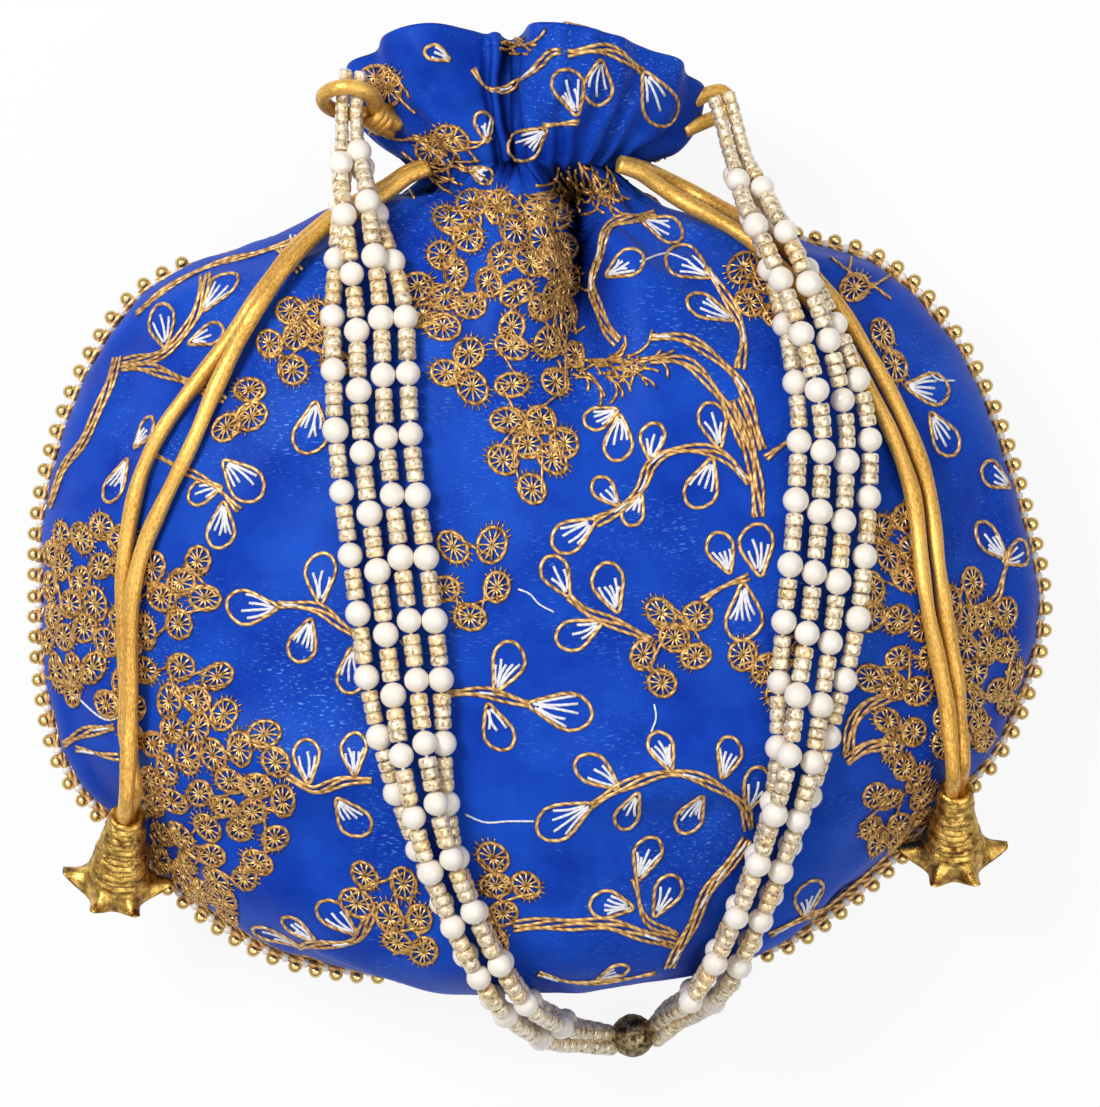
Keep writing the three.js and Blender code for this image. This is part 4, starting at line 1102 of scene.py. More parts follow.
def photo_place(pixel):
    """Where the ray through a photograph pixel meets the cloth, and the cloth's normal there."""
    camera = Vector(CAMERA_PLACE)
    x = CAMERA_PLACE[0] + (pixel[0] - PHOTO_WIDTH / 2) * PIXEL
    y = CAMERA_PLACE[1] - (pixel[1] - PHOTO_HEIGHT / 2) * PIXEL
    return struck(camera, (Vector((x, y, REFERENCE_HEIGHT)) - camera).normalized())


def back_place(pixel):
    """The place on the back panel that lies behind a photograph pixel, mirrored across the pouch."""
    x = CAMERA_PLACE[0] - (pixel[0] - PHOTO_WIDTH / 2) * PIXEL
    y = CAMERA_PLACE[1] - (pixel[1] - PHOTO_HEIGHT / 2) * PIXEL
    return struck((x, y, BELOW_ALL), (0, 0, 1))


def on_cloth(points, height):
    """Points moved to the nearest cloth and lifted off it, with the cloth's normals."""
    places = []
    normals = []
    for point in points:
        hit, normal, _, _ = cloth_tree.find_nearest(Vector(point))
        places.append(np.array(hit) + np.array(normal) * height)
        normals.append(np.array(normal))
    return np.array(places), np.array(normals)


def tangent_frame(normal, towards):
    """Two directions in the cloth: one towards a point, one across it."""
    first = towards - normal * (towards @ normal)
    first = unit(first) if np.linalg.norm(first) > 1e-6 else unit(np.cross(normal, (0.0, 1.0, 0.01)))
    return first, np.cross(normal, first)


def patch(place, base, towards):
    """A way to draw on the cloth in millimetres along and across the direction from base to towards.

    Low on a panel the drawing keeps its true size. Above the ruffle line it is drawn as the camera sees it.
    """
    base = np.array(base, float)
    start, start_normal = place(base)
    end, end_normal = place(towards)
    if start is None or end is None:
        return None, 0
    if base[1] < (RUFFLE_LINE if place is photo_place else BACK_RUFFLE_LINE):
        ahead = unit(np.subtract(towards, base))
        across = np.array((ahead[1], -ahead[0]))

        def put(drawn, height):
            hits = [place(base + (ahead * u + across * v) / PIXEL) for u, v in drawn]
            if any(hit is None for hit, _ in hits):
                return None, None
            points = np.array([hit for hit, _ in hits])
            if np.linalg.norm(np.diff(points, axis=0), axis=1).max() > TORN_STEP:
                return None, None
            normals = np.array([normal for _, normal in hits])
            return points + normals * height, normals

        return put, np.linalg.norm(np.subtract(towards, base)) * PIXEL
    length = np.linalg.norm(end - start)
    if length > LONGEST_LEAF:
        return None, 0
    first, second = tangent_frame(unit(start_normal + end_normal), end - start)

    def put(drawn, height):
        drawn = np.asarray(drawn)
        return on_cloth(start + drawn[:, :1] * first + drawn[:, 1:] * second, height)

    return put, length


def lay_leaf(gold, white, place, base, tip, rng):
    """A leaf: a teardrop of gold thread with a fan of white stitches in it."""
    put, length = patch(place, base, tip)
    if put is None:
        return
    width = length * rng.uniform(0.31, 0.38)
    lean = rng.uniform(-0.06, 0.06) * length
    turn = np.linspace(0, 2 * math.pi, 32, endpoint=False)
    forward = (1 - np.cos(turn)) / 2 * length
    belly = np.sin(turn) * (0.4 + 0.6 * smooth(forward / length * 1.25))
    aside = width * belly + lean * np.sin(forward / length * math.pi)
    line, normals = put(np.column_stack([forward, aside]), THREAD_RADIUS * 0.4)
    if line is not None:
        gold.tube(line, THREAD_RADIUS, 6, normals, 0.85, closed=True)
    for fan in rng.choice(LEAF_FANS):
        reach = length * rng.uniform(0.55, 0.82) * (1 - 0.4 * abs(fan))
        begin = length * rng.uniform(0.06, 0.16)
        stops = np.linspace(begin, reach, 6)
        bow = rng.uniform(-0.5, 0.5) * np.sin((stops - begin) / (reach - begin) * math.pi)
        stitch, normals = put(np.column_stack([stops, stops * fan + lean * 0.5 + bow]), STITCH_RADIUS * 0.5)
        if stitch is not None:
            white.tube(stitch, STITCH_RADIUS, 5, normals)


def lay_wheel(gold, bright, place, middle, rng):
    """A wheel motif: a ring of gold thread round fine spokes, with picots on one side."""
    angle = rng.uniform(0, 2 * math.pi)
    put, _ = patch(place, middle, (middle[0] + math.cos(angle), middle[1] + math.sin(angle)))
    if put is None:
        return
    long = rng.uniform(*WHEEL_LONG)
    short = rng.uniform(*WHEEL_SHORT)
    turn = np.linspace(0, 2 * math.pi, 18, endpoint=False)
    ring, normals = put(np.column_stack([long * np.cos(turn), short * np.sin(turn)]), THREAD_RADIUS * 0.45)
    if ring is None:
        return
    gold.tube(ring, THREAD_RADIUS * 1.1, 5, normals, 0.9, closed=True)
    for i in range(SPOKES):
        spin = i * 2 * math.pi / SPOKES + rng.uniform(-0.12, 0.12)
        reach = np.array((math.cos(spin) * long, math.sin(spin) * short))
        spoke, _ = put([reach * 0.05, reach * 0.5, reach * 0.95], SPOKE_RADIUS * 1.6)
        if spoke is not None:
            bright.tube(spoke, [SPOKE_RADIUS * 0.8, SPOKE_RADIUS, SPOKE_RADIUS], 4)
    for i in range(PICOTS):
        spin = (i - PICOTS // 2) * PICOT_TURN + rng.uniform(-0.05, 0.05)
        reach = np.array((math.cos(spin) * long, math.sin(spin) * short))
        picot, _ = put([reach, reach * rng.uniform(1.32, 1.5)], 0.3)
        if picot is not None:
            gold.tube(picot, [SPOKE_RADIUS, SPOKE_RADIUS * 0.7], 3)


def inside(outline, x, y):
    """Whether a pixel lies inside an outline."""
    within = False
    for (x0, y0), (x1, y1) in zip(outline, outline[1:] + outline[:1]):
        if (y0 > y) != (y1 > y) and x < x0 + (y - y0) * (x1 - x0) / (y1 - y0):
            within = not within
    return within


def wheel_places(place, rng):
    """The wheels' middles: those read one by one, and more wherever a cluster has room on the cloth."""
    places = [pixel for pixel in WHEELS if place(pixel)[0] is not None]
    taken = np.array([place(pixel)[0] for pixel in places])
    for outline in CLUSTERS:
        low_x, high_x = min(x for x, _ in outline), max(x for x, _ in outline)
        low_y, high_y = min(y for _, y in outline), max(y for _, y in outline)
        for _ in range(round((high_x - low_x) * (high_y - low_y) / 9)):
            x, y = rng.uniform(low_x, high_x), rng.uniform(low_y, high_y)
            if not inside(outline, x, y):
                continue
            hit, _ = place((x, y))
            if hit is not None and np.linalg.norm(taken - hit, axis=1).min() > WHEEL_SPACING:
                places.append((x, y))
                taken = np.vstack([taken, hit])
    return places


def link_wheels(gold, place, places, rng):
    """Threads that pass from each wheel to its nearest neighbours."""
    for x, y in places:
        near = sorted(places, key=lambda other: math.hypot(other[0] - x, other[1] - y))[1:3]
        for other_x, other_y in near:
            apart = math.hypot(other_x - x, other_y - y)
            if apart > LONGEST_LINK:
                continue
            side_x, side_y = (other_y - y) / apart * LINK_ASIDE, (x - other_x) / apart * LINK_ASIDE
            sign = rng.choice((-1, 1))
            pixels = [
                (x + side_x * sign, y + side_y * sign),
                ((x + other_x) / 2 + rng.uniform(-2, 2), (y + other_y) / 2 + rng.uniform(-2, 2)),
                (other_x - side_x * sign, other_y - side_y * sign),
            ]
            lay_thread(gold, place, pixels, 1.0, THREAD_RADIUS, 0.8, 0.85)


def lay_tangle(gold, place, box, count, way, rng):
    """Bunched gold thread where the embroidery is gathered at the neck."""
    low_x, low_y, high_x, high_y = box
    for _ in range(count):
        x, y = rng.uniform(low_x, high_x), rng.uniform(low_y, high_y)
        heading = math.radians(way) + rng.uniform(-0.5, 0.5)
        turning = rng.uniform(-0.3, 0.3)
        pixels = [(x, y)]
        for _ in range(rng.randint(*TANGLE_STEPS)):
            x += TANGLE_STEP * math.cos(heading)
            y += TANGLE_STEP * math.sin(heading)
            heading += turning + rng.uniform(-0.15, 0.15)
            pixels.append((x, y))
        lay_thread(gold, place, pixels, 0.8, THREAD_RADIUS, 0.7, 0.85)


def traced(place, pixels, step):
    """Points and normals of a line through photograph pixels, split where the cloth falls away."""
    lines = [[]]
    for pixel in spline(pixels, step / PIXEL):
        hit, normal = place(pixel)
        if hit is None or (lines[-1] and np.linalg.norm(hit - lines[-1][-1][0]) > LONGEST_GAP):
            lines.append([])
        if hit is not None:
            lines[-1].append((hit, normal))
    return [np.array(line).transpose(1, 0, 2) for line in lines if len(line) >= FEWEST_POINTS]


def lay_thread(gather, place, pixels, step, radius, lift, thickness):
    """A single thread through photograph pixels. Its lift and thickness are shares of the radius."""
    for points, normals in traced(place, pixels, step):
        gather.tube(points + normals * radius * lift, radius * thickness, 4, normals)


def lay_stem(gold, white, place, threads, pixels, rng):
    """A stem: threads side by side that weave over each other, with white dashes between them."""
    for middle, normals in traced(place, pixels, 1.2):
        ahead = np.gradient(middle, axis=0)
        across = directions(np.cross(normals, ahead))
        run = run_of(middle)
        for i in range(threads):
            rest = (i - (threads - 1) / 2) * THREAD_RADIUS * 1.7
            sway = 0.35 * np.sin(run / 2.6 + i * 2.1)
            lifted = THREAD_RADIUS * (0.5 + 0.25 * np.cos(run / 2.6 + i * 2.1))
            strand = middle + across * (rest + sway)[:, None] + normals * lifted[:, None]
            gold.tube(strand, THREAD_RADIUS * 0.95, 5, normals, 0.9)
        for begin in range(1, len(middle) - 4, 6):
            if rng.random() > WHITE_SHARE:
                continue
            dash = middle[begin:begin + 4] + normals[begin:begin + 4] * THREAD_RADIUS * 1.2
            white.tube(dash, STITCH_RADIUS, 4, normals[begin:begin + 4])


def embroider(side, place, seed):
    """All the embroidery that one panel carries."""
    rng = random.Random(seed)
    gold = Gather()
    white = Gather()
    for base, tip in LEAVES:
        lay_leaf(gold, white, place, base, tip, rng)
    for threads, pixels in STEMS:
        lay_stem(gold, white, place, threads, pixels, rng)
    wheels = Gather()
    spokes = Gather()
    places = wheel_places(place, rng)
    for middle in places:
        lay_wheel(wheels, spokes, place, middle, rng)
    link_wheels(wheels, place, places, rng)
    for box, count, way in TANGLES:
        lay_tangle(wheels, place, box, count, way, rng)
    for pixels in WHITE_LINES:
        lay_thread(white, place, pixels, 1.2, STITCH_RADIUS, 0.5, 0.8)
    gold.make(f"embroidery_{side}_sprays", PALE_ZARI)
    wheels.make(f"embroidery_{side}_wheels", ZARI)
    spokes.make(f"embroidery_{side}_spokes", BRIGHT_ZARI)
    white.make(f"embroidery_{side}_white", WHITE_THREAD)


embroider("front", photo_place, 11)
embroider("back", back_place, 12)


# The trim on the seam

def seam_stations():
    """Points of the seam from its top left round the foot to its top right."""
    left = np.arange(TRIM_TOP_LEFT, 0.02, -SEAM_STEP)
    right = np.arange(0, TRIM_TOP_RIGHT, SEAM_STEP)
    return np.concatenate([
        body_points(left, np.full_like(left, math.pi)), body_points(right, np.zeros_like(right))])


def make_trim():
    """A braid of pale thread round the seam, small cream beads in it and gold balls on its edge."""
    line = respace(seam_stations(), 0.5)
    run = run_of(line)
    ahead = np.gradient(line, axis=0)
    outward = np.cross(ahead, (0.0, 0.0, 1.0))
    outward[:, 2] = 0
    outward /= np.linalg.norm(outward, axis=1, keepdims=True)
    braid = Gather()
    coarse = slice(None, None, 2)
    for phase in (0, math.pi):
        turn = run / BRAID_TWIST + phase
        strand = line + outward * (CLEARANCE + BRAID_MIDDLE + BRAID_SWAY * np.sin(turn))[:, None]
        strand[:, 2] += BRAID_RISE * np.cos(turn)
        braid.tube(strand[coarse], BRAID_STRAND_RADIUS, 5)
    for reach, lift, radius in BRAID_EDGES:
        edge = line + outward * reach
        edge[:, 2] += lift
        braid.tube(edge[coarse], radius, 5)
    braid.make("edge_trim_braid", PALE_ZARI, replaced=("edge_trim",))
    hidden = round((TRIM_TOP_LEFT - BALLS_TOP_LEFT) / SEAM_STEP)
    first_ball = run_of(seam_stations())[hidden]
    count = round((run[-1] - first_ball) / BALL_PITCH)
    stops = first_ball + (np.arange(count) + 0.5) * (run[-1] - first_ball) / count
    balls = Gather()
    beads = Gather()

    def beside(stop, reach):
        i = min(int(np.searchsorted(run, stop)), len(line) - 1)
        return line[i] + outward[i] * (CLEARANCE + reach)

    for stop in stops:
        balls.turned(ball_profile(BALL_DIAMETER), beside(stop, BRAID_WIDTH), (0, 0, 1), 14)
        inner = beside(stop + BALL_PITCH / 2, BRAID_WIDTH * TRIM_BEAD_PLACE) + (0, 0, TRIM_BEAD_LIFT)
        beads.turned(ball_profile(TRIM_BEAD_DIAMETER, 6), inner, (0, 0, 1), 10)
    balls.make("edge_trim_balls", BALL_GOLD)
    beads.make("edge_trim_beads", PEARL)
    lay((line + outward * (CLEARANCE + BRAID_WIDTH))[::4], np.full(len(line[::4]), BALL_DIAMETER / 2))


# Cords and strands, let down onto the pouch

laid_points = np.zeros((0, 4))
height_cache = {}


def cloth_height(column, row):
    """Height of the pouch's upper side at a whole millimetre of the table, or 0 beside the pouch."""
    key = (column, row)
    if key not in height_cache:
        hit, _, _, _ = cloth_tree.ray_cast(Vector((column, row, ABOVE_ALL)), Vector((0, 0, -1)))
        height_cache[key] = hit.z if hit else 0
    return height_cache[key]


def rest_height(x, y, radius, cord_radius):
    """Height of the middle of a ball let down onto the pouch and onto the cords laid so far."""
    height = radius
    reach = math.ceil(radius)
    for row in range(round(y) - reach, round(y) + reach + 1):
        for column in range(round(x) - reach, round(x) + reach + 1):
            apart = math.hypot(column - x, row - y)
            if apart < radius:
                cloth = cloth_height(column, row)
                if cloth > 0:
                    height = max(height, cloth + math.sqrt(radius ** 2 - apart ** 2))
    if len(laid_points):
        touch = cord_radius + laid_points[:, 3]
        apart = np.hypot(laid_points[:, 0] - x, laid_points[:, 1] - y)
        near = apart < touch
        if near.any():
            over = laid_points[near, 2] + np.sqrt(touch[near] ** 2 - apart[near] ** 2)
            height = max(height, over.max())
    return height + LAY_GAP


def lay(points, radii):
    """Notes a line with its radii as laid, so that what comes later lies on it."""
    global laid_points
    laid_points = np.vstack([laid_points, np.column_stack([points, radii])])


def drape(plan, rest, steepest):
    """A cord let down along plan points: it lies on what is under it and eases over steps and gaps."""
    height = list(rest)
    last = len(plan) - 1
    for i in range(1, last + 1):
        height[i] = max(height[i], height[i - 1] - steepest[i] * LAY_STEP)
    for i in range(last - 1, -1, -1):
        height[i] = max(height[i], height[i + 1] - steepest[i] * LAY_STEP)
    for _ in range(EASING):
        for i in range(1, last):
            height[i] = max(rest[i], (height[i - 1] + height[i + 1]) / 2)
    return np.column_stack([plan[:, :2], height])


def cone_axis(side):
    """The way that a cone points."""
    top, towards = CONES[side]
    return unit(np.subtract(towards, top))


def make_drawstrings():
    """The four ends of the drawstrings, each led into its cone."""
    for name, route in DRAWSTRING_ROUTES.items():
        side = "left" if "left" in name else "right"
        axis = cone_axis(side)
        radius = CORD_DIAMETER / 2
        plan = spline(route, LAY_STEP)
        rest = [rest_height(x, y, radius, radius) for x, y in plan]
        rest[0] = max(rest[0], DRAWSTRING_START_HEIGHT)
        line = drape(plan, rest, [HANGING_STEEPNESS] * len(plan))
        lay(line, np.full(len(line), radius))
        across = unit(np.cross((0.0, 0.0, 1.0), axis))
        above = np.cross(axis, across)
        outer = name.endswith("_a")
        stack = unit(above * (-1 if outer else 1) + across * CORD_LEAN[side] * (1 if outer else -1))
        top = np.array(CONES[side][0], float)
        end = [
            top - axis * DRAWSTRING_LEAD + stack * CORD_DIAMETER / 2,
            top - axis * 1.5 + stack * CORD_DIAMETER * 0.4,
            top + axis * 2 + stack * CORD_DIAMETER * 0.36,
        ]
        line = spline(np.vstack([line[:-3:3], end]), 0.8)
        run = run_of(line)
        soft = 1 + 0.07 * np.sin(run / 7 + len(name)) + 0.05 * np.sin(run / 2.7)
        squeezed = 1 - 0.25 * smooth(1 - (run[-1] - run) / 5)
        cord = Gather()
        cord.tube(line, radius * CORD_FULLNESS * soft * squeezed, 16, flat=0.95)
        piece = cord.make(f"{name}_cord", CORD, replaced=(name,))


# The metal cones

def make_cone(side):
    """A wound metal cone with a flared lip of five points."""
    axis = cone_axis(side)
    top = np.array(CONES[side][0], float)
    first = unit(np.cross((1.0, 0.0, 0.0), axis))
    second = np.cross(axis, first)
    turn = np.arange(CONE_COLUMNS) * 2 * math.pi / CONE_COLUMNS
    crowded = turn + CONE_CROWDING * np.sin(turn)
    around = np.cos(crowded)[:, None] * first + np.sin(crowded)[:, None] * second
    point = np.minimum((1 - np.abs(np.sin(turn * CONE_POINTS / 2))) ** 1.15 / CONE_BLUNTNESS, 1)
    top_radius = CONE_TOP_DIAMETER / 2
    body_radius = CONE_BODY_DIAMETER / 2
    body_length = CONE_LENGTH - CONE_SKIRT
    star = CONE_RIM_DIAMETER / 2 - body_radius - CONE_LIP
    rng = random.Random(5)
    rings = []

    def ring(depth, radius, spread=0.0, curl=0.0):
        reach = radius + spread * point
        rings.append(top + (depth - curl * point)[:, None] * axis + reach[:, None] * around)

    ring(1.2, top_radius - 1.0)
    ring(0, top_radius - 0.6)
    for wind in range(CONE_WINDS):
        jitter = rng.uniform(-0.12, 0.12)
        for part, proud in ((0.08, 0.0), (0.35, 0.5), (0.65, 0.5), (0.92, 0.0)):
            share = (wind + part) / CONE_WINDS
            radius = top_radius + (body_radius - top_radius) * share ** CONE_FLARES[side]
            wobble = 0.12 * np.sin(turn * 7 + wind * 1.9) + 0.1 * np.sin(turn * 3 - wind)
            ring(body_length * share + wobble * 0.4, radius + proud + jitter + wobble * 0.6)
    lip_length = CONE_LENGTH - body_length
    outside = [(step / LIP_RINGS, 0, 0) for step in range(1, LIP_RINGS + 1)]
    within = [(step / LIP_RINGS, LIP_WALL, LIP_EDGE) for step in range(LIP_RINGS - 1, -1, -1)]
    for share, wall, edge in outside + within:
        ring(body_length + lip_length * share + edge, body_radius - wall + CONE_LIP * share ** 0.6,
             star * share ** 1.3, CONE_ROLL * share ** 2)
    for share in (0.7, 0.4, 0.15):
        inner = top_radius + (body_radius - top_radius) * share ** CONE_FLARES[side]
        ring(body_length * share + 1, inner - 1.1)
    shell = Gather()
    shell.add(np.concatenate(rings), capped_faces(len(rings), CONE_COLUMNS))
    shell.make(f"cone_{side}_shell", ANTIQUE, replaced=(f"cone_{side}",))


# The handle

spacer_centre = np.array((*SPACER_PLACE, SPACER_DIAMETER / 2 + CLEARANCE))
spacer_axis = np.array((math.cos(math.radians(SPACER_TURN)), math.sin(math.radians(SPACER_TURN)), 0.0))


def strand_lines(side):
    """The four strands of one leg, from its loop to the spacer bead."""
    plan = spline(HANDLE_ROUTES[side], LAY_STEP)
    last = len(plan) - 1
    place = np.arange(last + 1)
    loop_end = round(2 * LOOP_BELOW_TOP / LAY_STEP)
    from_loop = (place - loop_end) * LAY_STEP
    to_bead = (last - place) * LAY_STEP
    narrow = smooth(1 - to_bead / BEAD_FAN_LENGTH)
    row = smooth((to_bead - STACK_LENGTH) / STACK_FAN_LENGTH)
    full = smooth(from_loop / INNER_FAN_LENGTH) * (1 - narrow)
    thick = (END_DIAMETER + (PEARL_DIAMETER - END_DIAMETER) * full) / 2
    lay_thick = (END_DIAMETER + (SEED_DIAMETER - END_DIAMETER) * full) / 2
    bundle = END_SPACING / math.sqrt(2) + END_DIAMETER / 2 + LOOP_CORD_DIAMETER + CLEARANCE
    leg_rest = []
    for i, (x, y) in enumerate(plan):
        radius = bundle if i < loop_end else PEARL_DIAMETER / 2
        leg_rest.append(max(rest_height(x, y, radius, radius), LOOP_HEIGHTS[side] if i < loop_end else 0))
    leg = drape(plan, leg_rest, [HANGING_STEEPNESS] * len(plan))
    bead_side = -1 if side == "left" else 1
    face = spacer_centre + spacer_axis * bead_side * (SPACER_LENGTH / 2 - 1)
    face_across = np.cross(spacer_axis, (0.0, 0.0, 1.0)) * -bead_side
    ahead = np.gradient(plan, axis=0)
    ahead /= np.linalg.norm(ahead, axis=1, keepdims=True)
    across = np.column_stack([ahead[:, 1], -ahead[:, 0]])
    lines = []
    for strand_side in STRAND_SIDES:
        inner = abs(strand_side) < 1
        over = 0.5 if inner else -0.5
        in_loop = math.copysign(END_SPACING / 2, strand_side)
        spread = smooth(from_loop / (INNER_FAN_LENGTH if inner else OUTER_FAN_LENGTHS[side]))
        stacked = math.copysign(STRAND_SPACING / 2 if inner else STACK_HALF_WIDTH, strand_side)
        beside = stacked + (strand_side * STRAND_SPACING - stacked) * row
        aside = in_loop + (beside - in_loop) * spread
        aside = aside + (in_loop - aside) * narrow
        line = plan + across * aside[:, None]
        rest = []
        for i, (x, y) in enumerate(line):
            if i < loop_end:
                rest.append(leg[i, 2] + over * END_SPACING)
            else:
                rest.append(rest_height(x, y, thick[i], thick[i]))
        end = face + face_across * in_loop + np.array((0, 0, over * END_SPACING))
        foot = round(last * FOOT_SHARE)
        slopes = (np.array(rest[foot:-3]) - end[2]) / to_bead[foot:-3]
        rest[-3:] = [end[2]] * 3
        draped = drape(line, rest, np.where(place > foot, FOOT_SAG * slopes.max(), HANGING_STEEPNESS))
        lay(draped, lay_thick)
        lines.append(np.vstack([draped[:-2], end + spacer_axis * bead_side * BEAD_LEAD, end]))
    return lines


def thread_beads(line, shift, pearls, seeds, rng):
    """Pearls along a strand, wider apart where it drops to the table, with seed beads packed between them."""
    run = run_of(line)
    length = run[-1]
    flat = np.linalg.norm(np.diff(line[:, :2], axis=0), axis=1)
    pearl_run = np.concatenate([[0], np.cumsum(np.minimum(np.diff(run), STEEP_PEARLS * flat))])

    def at(stop):
        i = min(max(int(np.searchsorted(run, stop)), 1), len(line) - 1)
        share = (stop - run[i - 1]) / (run[i] - run[i - 1])
        return line[i - 1] + (line[i] - line[i - 1]) * share, unit(line[i] - line[i - 1])

    first = 2 * LOOP_BELOW_TOP + FIRST_PEARL + shift
    stops = []
    while first < pearl_run[-1] - BEAD_FAN_LENGTH * 0.7:
        stops.append(float(np.interp(first + rng.uniform(-0.5, 0.5), pearl_run, run)))
        first += PEARL_PITCH
    for stop in stops:
        centre, axis = at(stop)
        pearls.turned(ball_profile(PEARL_DIAMETER * rng.uniform(0.9, 0.98), 11), centre, axis, 16)
    edges = [0, *stops, length + PEARL_DIAMETER / 2 - 0.8]
    for i, (begin, finish) in enumerate(zip(edges, edges[1:])):
        low = begin + (PEARL_DIAMETER / 2 if i else 0)
        high = finish - PEARL_DIAMETER / 2
        room = np.interp(high, run, pearl_run) - np.interp(low, run, pearl_run)
        count = max(1, round(float(room) / SEED_PITCH))
        pitch = (high - low) / count
        for bead in range(count):
            stop = low + (bead + 0.5) * pitch
            thin = smooth((stop - 2 * LOOP_BELOW_TOP) / 12) * smooth(0.4 + (length - stop) / 12)
            diameter = END_DIAMETER + (SEED_DIAMETER - END_DIAMETER) * thin
            centre, axis = at(stop)
            size = diameter * rng.uniform(0.96, 1.03)
            seeds.turned(seed_profile(size, pitch * rng.uniform(0.96, 1.0)), centre, axis, 12)


def make_handle():
    """Four strings of pearls and seed beads, each from the left loop through the spacer to the right."""
    lines = {side: strand_lines(side) for side in ("left", "right")}
    for number, mirrored in enumerate(MIRRORED_STRANDS):
        left = lines["left"][number]
        right = lines["right"][mirrored]
        rng = random.Random(30 + number)
        pearls = Gather()
        seeds = Gather()
        thread_beads(left, PEARL_SHIFTS["left"][number], pearls, seeds, rng)
        thread_beads(right, PEARL_SHIFTS["right"][mirrored], pearls, seeds, rng)
        nodes = (f"handle_left_strand_{number + 1}", f"handle_right_strand_{mirrored + 1}")
        string_of_pearls = pearls.make(f"handle_pearls_{number + 1}", PEARL, replaced=nodes)
        string_of_seeds = seeds.make(f"handle_seeds_{number + 1}", SEED)
        path = spline(np.vstack([left[::2], left[-1:], right[::-1][::2]]), 1.5)
        string = Gather()
        string.tube(path, STRING_RADIUS, 6)
        piece = string.make(f"handle_string_{number + 1}", WHITE_THREAD)
    make_round_loop(lines["left"])
    make_under_loop()


def seat_distance(origin, direction):
    """How far the cloth is from a place on a loop."""
    hit, _, _, distance = cloth_tree.ray_cast(Vector(origin), Vector(direction))
    return distance if hit else FREE_END


def make_under_loop():
    """The right satin loop, which comes from the ruffle and passes under the tops of the strands."""
    loop = Gather()
    loop.tube(spline(UNDER_LOOP, 0.8), LOOP_CORD_DIAMETER / 2, 14)
    loop.make("handle_loop_right_cord", CORD, replaced=("handle_loop_right",))


def make_round_loop(lines):
    """The left satin loop, which goes round the tops of the strands and is knotted beside the ruffle."""
    step = round(LOOP_BELOW_TOP / LAY_STEP)
    centre = np.mean([line[step] for line in lines], axis=0)
    bundle = END_SPACING / math.sqrt(2) + END_DIAMETER / 2
    radius = bundle + LOOP_SLACK + LOOP_CORD_DIAMETER / 2
    tilt = math.radians(LOOP_TILT)
    ahead = unit(np.mean([line[step + 2] for line in lines], axis=0) - centre)
    wide = unit(np.cross(ahead, (0.0, 0.0, 1.0)))
    above = np.cross(wide, ahead)
    tall = above * math.cos(tilt) - ahead * math.sin(tilt)
    seat = np.array([[LOOP_SEAT_SHARE]]), np.array([[math.radians(LOOP_SEAT)]]), np.array([[0.0]])
    home = unit(ruffle_points(*seat)[0, 0] - centre)
    facing = math.atan2(home @ tall, home @ wide)
    opening = LOOP_SPACING / 2 / radius
    turns = np.linspace(facing + opening, facing + 2 * math.pi - opening, 40)
    ring = centre + radius * np.cos(turns)[:, None] * wide \
        + radius / math.cos(tilt) * np.sin(turns)[:, None] * tall
    heads = []
    for point in (ring[0], ring[-1]):
        run = seat_distance(point, home) + LOOP_SEWN_IN
        heads.append([point + home * run, point + home * run * 0.5])
    line = spline(np.vstack([heads[0], ring[::3], heads[1][::-1]]), 0.8)
    loop = Gather()
    loop.tube(line, LOOP_CORD_DIAMETER / 2, 14)
    across = unit(np.cross(home, (0.0, 0.0, 1.0)))
    above = np.cross(across, home)
    knot = (ring[0] + ring[-1]) / 2 + home * KNOT_DIAMETER * 0.7
    turns = np.linspace(0, 2 * math.pi * KNOT_TURNS, 16 * KNOT_TURNS)
    wound = knot + KNOT_DIAMETER / 2 * (np.cos(turns)[:, None] * across + np.sin(turns)[:, None] * above)
    wound = wound + home * ((turns / turns[-1] - 0.5) * LOOP_CORD_DIAMETER * 1.3)[:, None]
    loop.tube(wound, LOOP_CORD_DIAMETER * 0.36, 10)
    loop.make("handle_loop_left_cord", CORD, replaced=("handle_loop_left",))


def make_spacer():
    """A barrel-shaped bead of antique metal with a cast, crackled surface."""
    rings = 40
    columns = 64
    share = np.linspace(0, 1, rings)[:, None]
    turn = np.linspace(0, 2 * math.pi, columns, endpoint=False)[None, :]
    first = np.array((0.0, 0.0, 1.0))
    second = np.cross(spacer_axis, first)
    out = np.cos(turn)[..., None] * first + np.sin(turn)[..., None] * second
    swell = np.sin(math.pi * (0.07 + 0.86 * share)) ** 0.5
    points = spacer_centre + ((share - 0.5) * SPACER_LENGTH)[..., None] * spacer_axis \
        + out * (SPACER_DIAMETER / 2 * swell)[..., None]
    crackle = np.array([
        noise.voronoi((p / 1.5).tolist())[0][1] - noise.voronoi((p / 1.5).tolist())[0][0]
        for p in points.reshape(-1, 3)
    ]).reshape(rings, columns)
    points = points + out * (0.3 * np.minimum(crackle, 0.5) - 0.25)[..., None]
    bead = Gather()
    bead.add(points.reshape(-1, 3), capped_faces(rings, columns))
    bead.make("spacer_bead_metal", DARK_METAL, replaced=("spacer_bead",))


make_trim()
make_cone("left")
make_cone("right")
make_drawstrings()
make_spacer()
make_handle()


# The stage

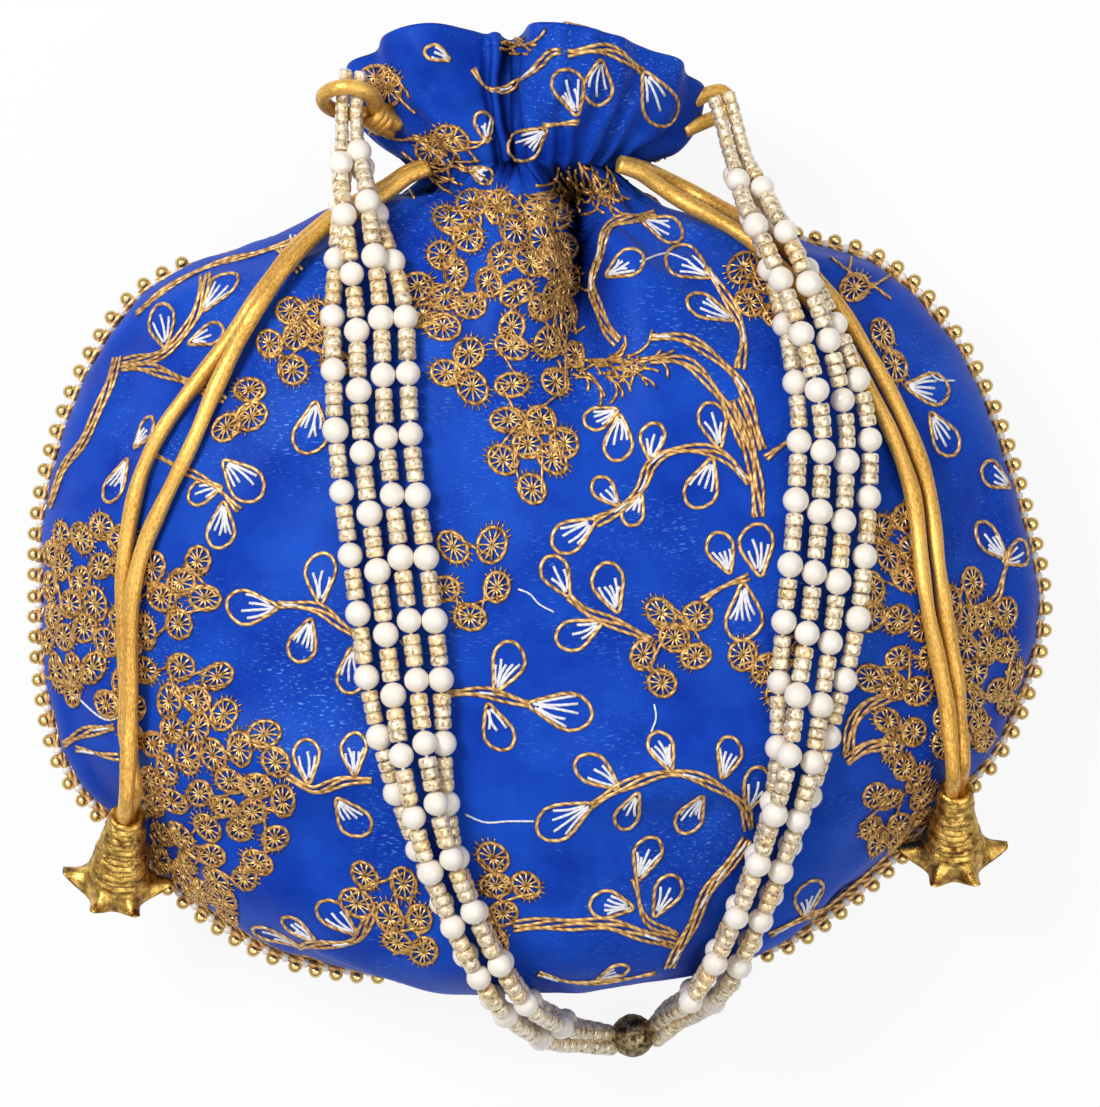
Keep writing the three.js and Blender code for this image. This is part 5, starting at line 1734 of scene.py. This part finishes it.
def make_stage():
    """A pale floor, soft light from above and the photograph's camera."""
    scene = bpy.context.scene
    mesh = bpy.data.meshes.new("floor")
    corners = [(-1, -1), (1, -1), (1, 1), (-1, 1)]
    mesh.from_pydata(
        [(x * FLOOR_HALF_SIZE, y * FLOOR_HALF_SIZE, FLOOR_HEIGHT) for x, y in corners], [], [(0, 1, 2, 3)])
    floor = bpy.data.objects.new("floor", mesh)
    scene.collection.objects.link(floor)
    material, shader, add, link = new_material("floor_paper")
    set_shader(shader, Base_Color=(0.9, 0.9, 0.9, 1), Roughness=0.9, Specular_IOR_Level=0.1)
    white = add("ShaderNodeEmission", {"Color": (1, 1, 1, 1), "Strength": 1.0})
    path = add("ShaderNodeLightPath")
    share = add("ShaderNodeMath", {1: FLOOR_WHITENESS}, operation="MULTIPLY")
    link(path, "Is Camera Ray", share, 0)
    mix = add("ShaderNodeMixShader")
    output = material.node_tree.nodes["Material Output"]
    link(share, "Value", mix, "Fac")
    link(shader, "BSDF", mix, 1)
    link(white, "Emission", mix, 2)
    link(mix, "Shader", output, "Surface")
    mesh.materials.append(material)

    world = bpy.data.worlds.new("studio")
    world.use_nodes = True
    background = world.node_tree.nodes["Background"]
    background.inputs["Color"].default_value = (1, 1, 1, 1)
    new_node = world.node_tree.nodes.new
    new_link = world.node_tree.links.new
    rays = new_node("ShaderNodeLightPath")
    place = new_node("ShaderNodeTexCoord")
    split = new_node("ShaderNodeSeparateXYZ")
    sky = new_node("ShaderNodeMapRange")
    sky.inputs["From Min"].default_value = 0.1
    sky.inputs["From Max"].default_value = 0.85
    sky.inputs["To Min"].default_value = MIRRORED_SIDES
    sky.inputs["To Max"].default_value = MIRRORED_TOP
    level = new_node("ShaderNodeMix")
    level.inputs["A"].default_value = AMBIENT
    new_link(place.outputs["Generated"], split.inputs["Vector"])
    new_link(split.outputs["Z"], sky.inputs["Value"])
    new_link(rays.outputs["Is Glossy Ray"], level.inputs["Factor"])
    new_link(sky.outputs["Result"], level.inputs["B"])
    new_link(level.outputs["Result"], background.inputs["Strength"])
    scene.world = world
    for name, (place, size, power) in LAMPS.items():
        light = bpy.data.lights.new(name, "AREA")
        light.size = size
        light.energy = power
        lamp = bpy.data.objects.new(name, light)
        lamp.location = place
        lamp.rotation_euler = (-Vector(place)).to_track_quat("-Z", "Y").to_euler()
        scene.collection.objects.link(lamp)
    camera_data = bpy.data.cameras.new("camera")
    camera_data.sensor_width = SENSOR
    camera_data.lens = SENSOR * (CAMERA_PLACE[2] - REFERENCE_HEIGHT) / (PHOTO_HEIGHT * PIXEL)
    camera = bpy.data.objects.new("camera", camera_data)
    camera.location = Vector(CAMERA_PLACE) * MM
    scene.collection.objects.link(camera)
    scene.camera = camera
    scene.view_settings.view_transform = "Standard"


make_stage()
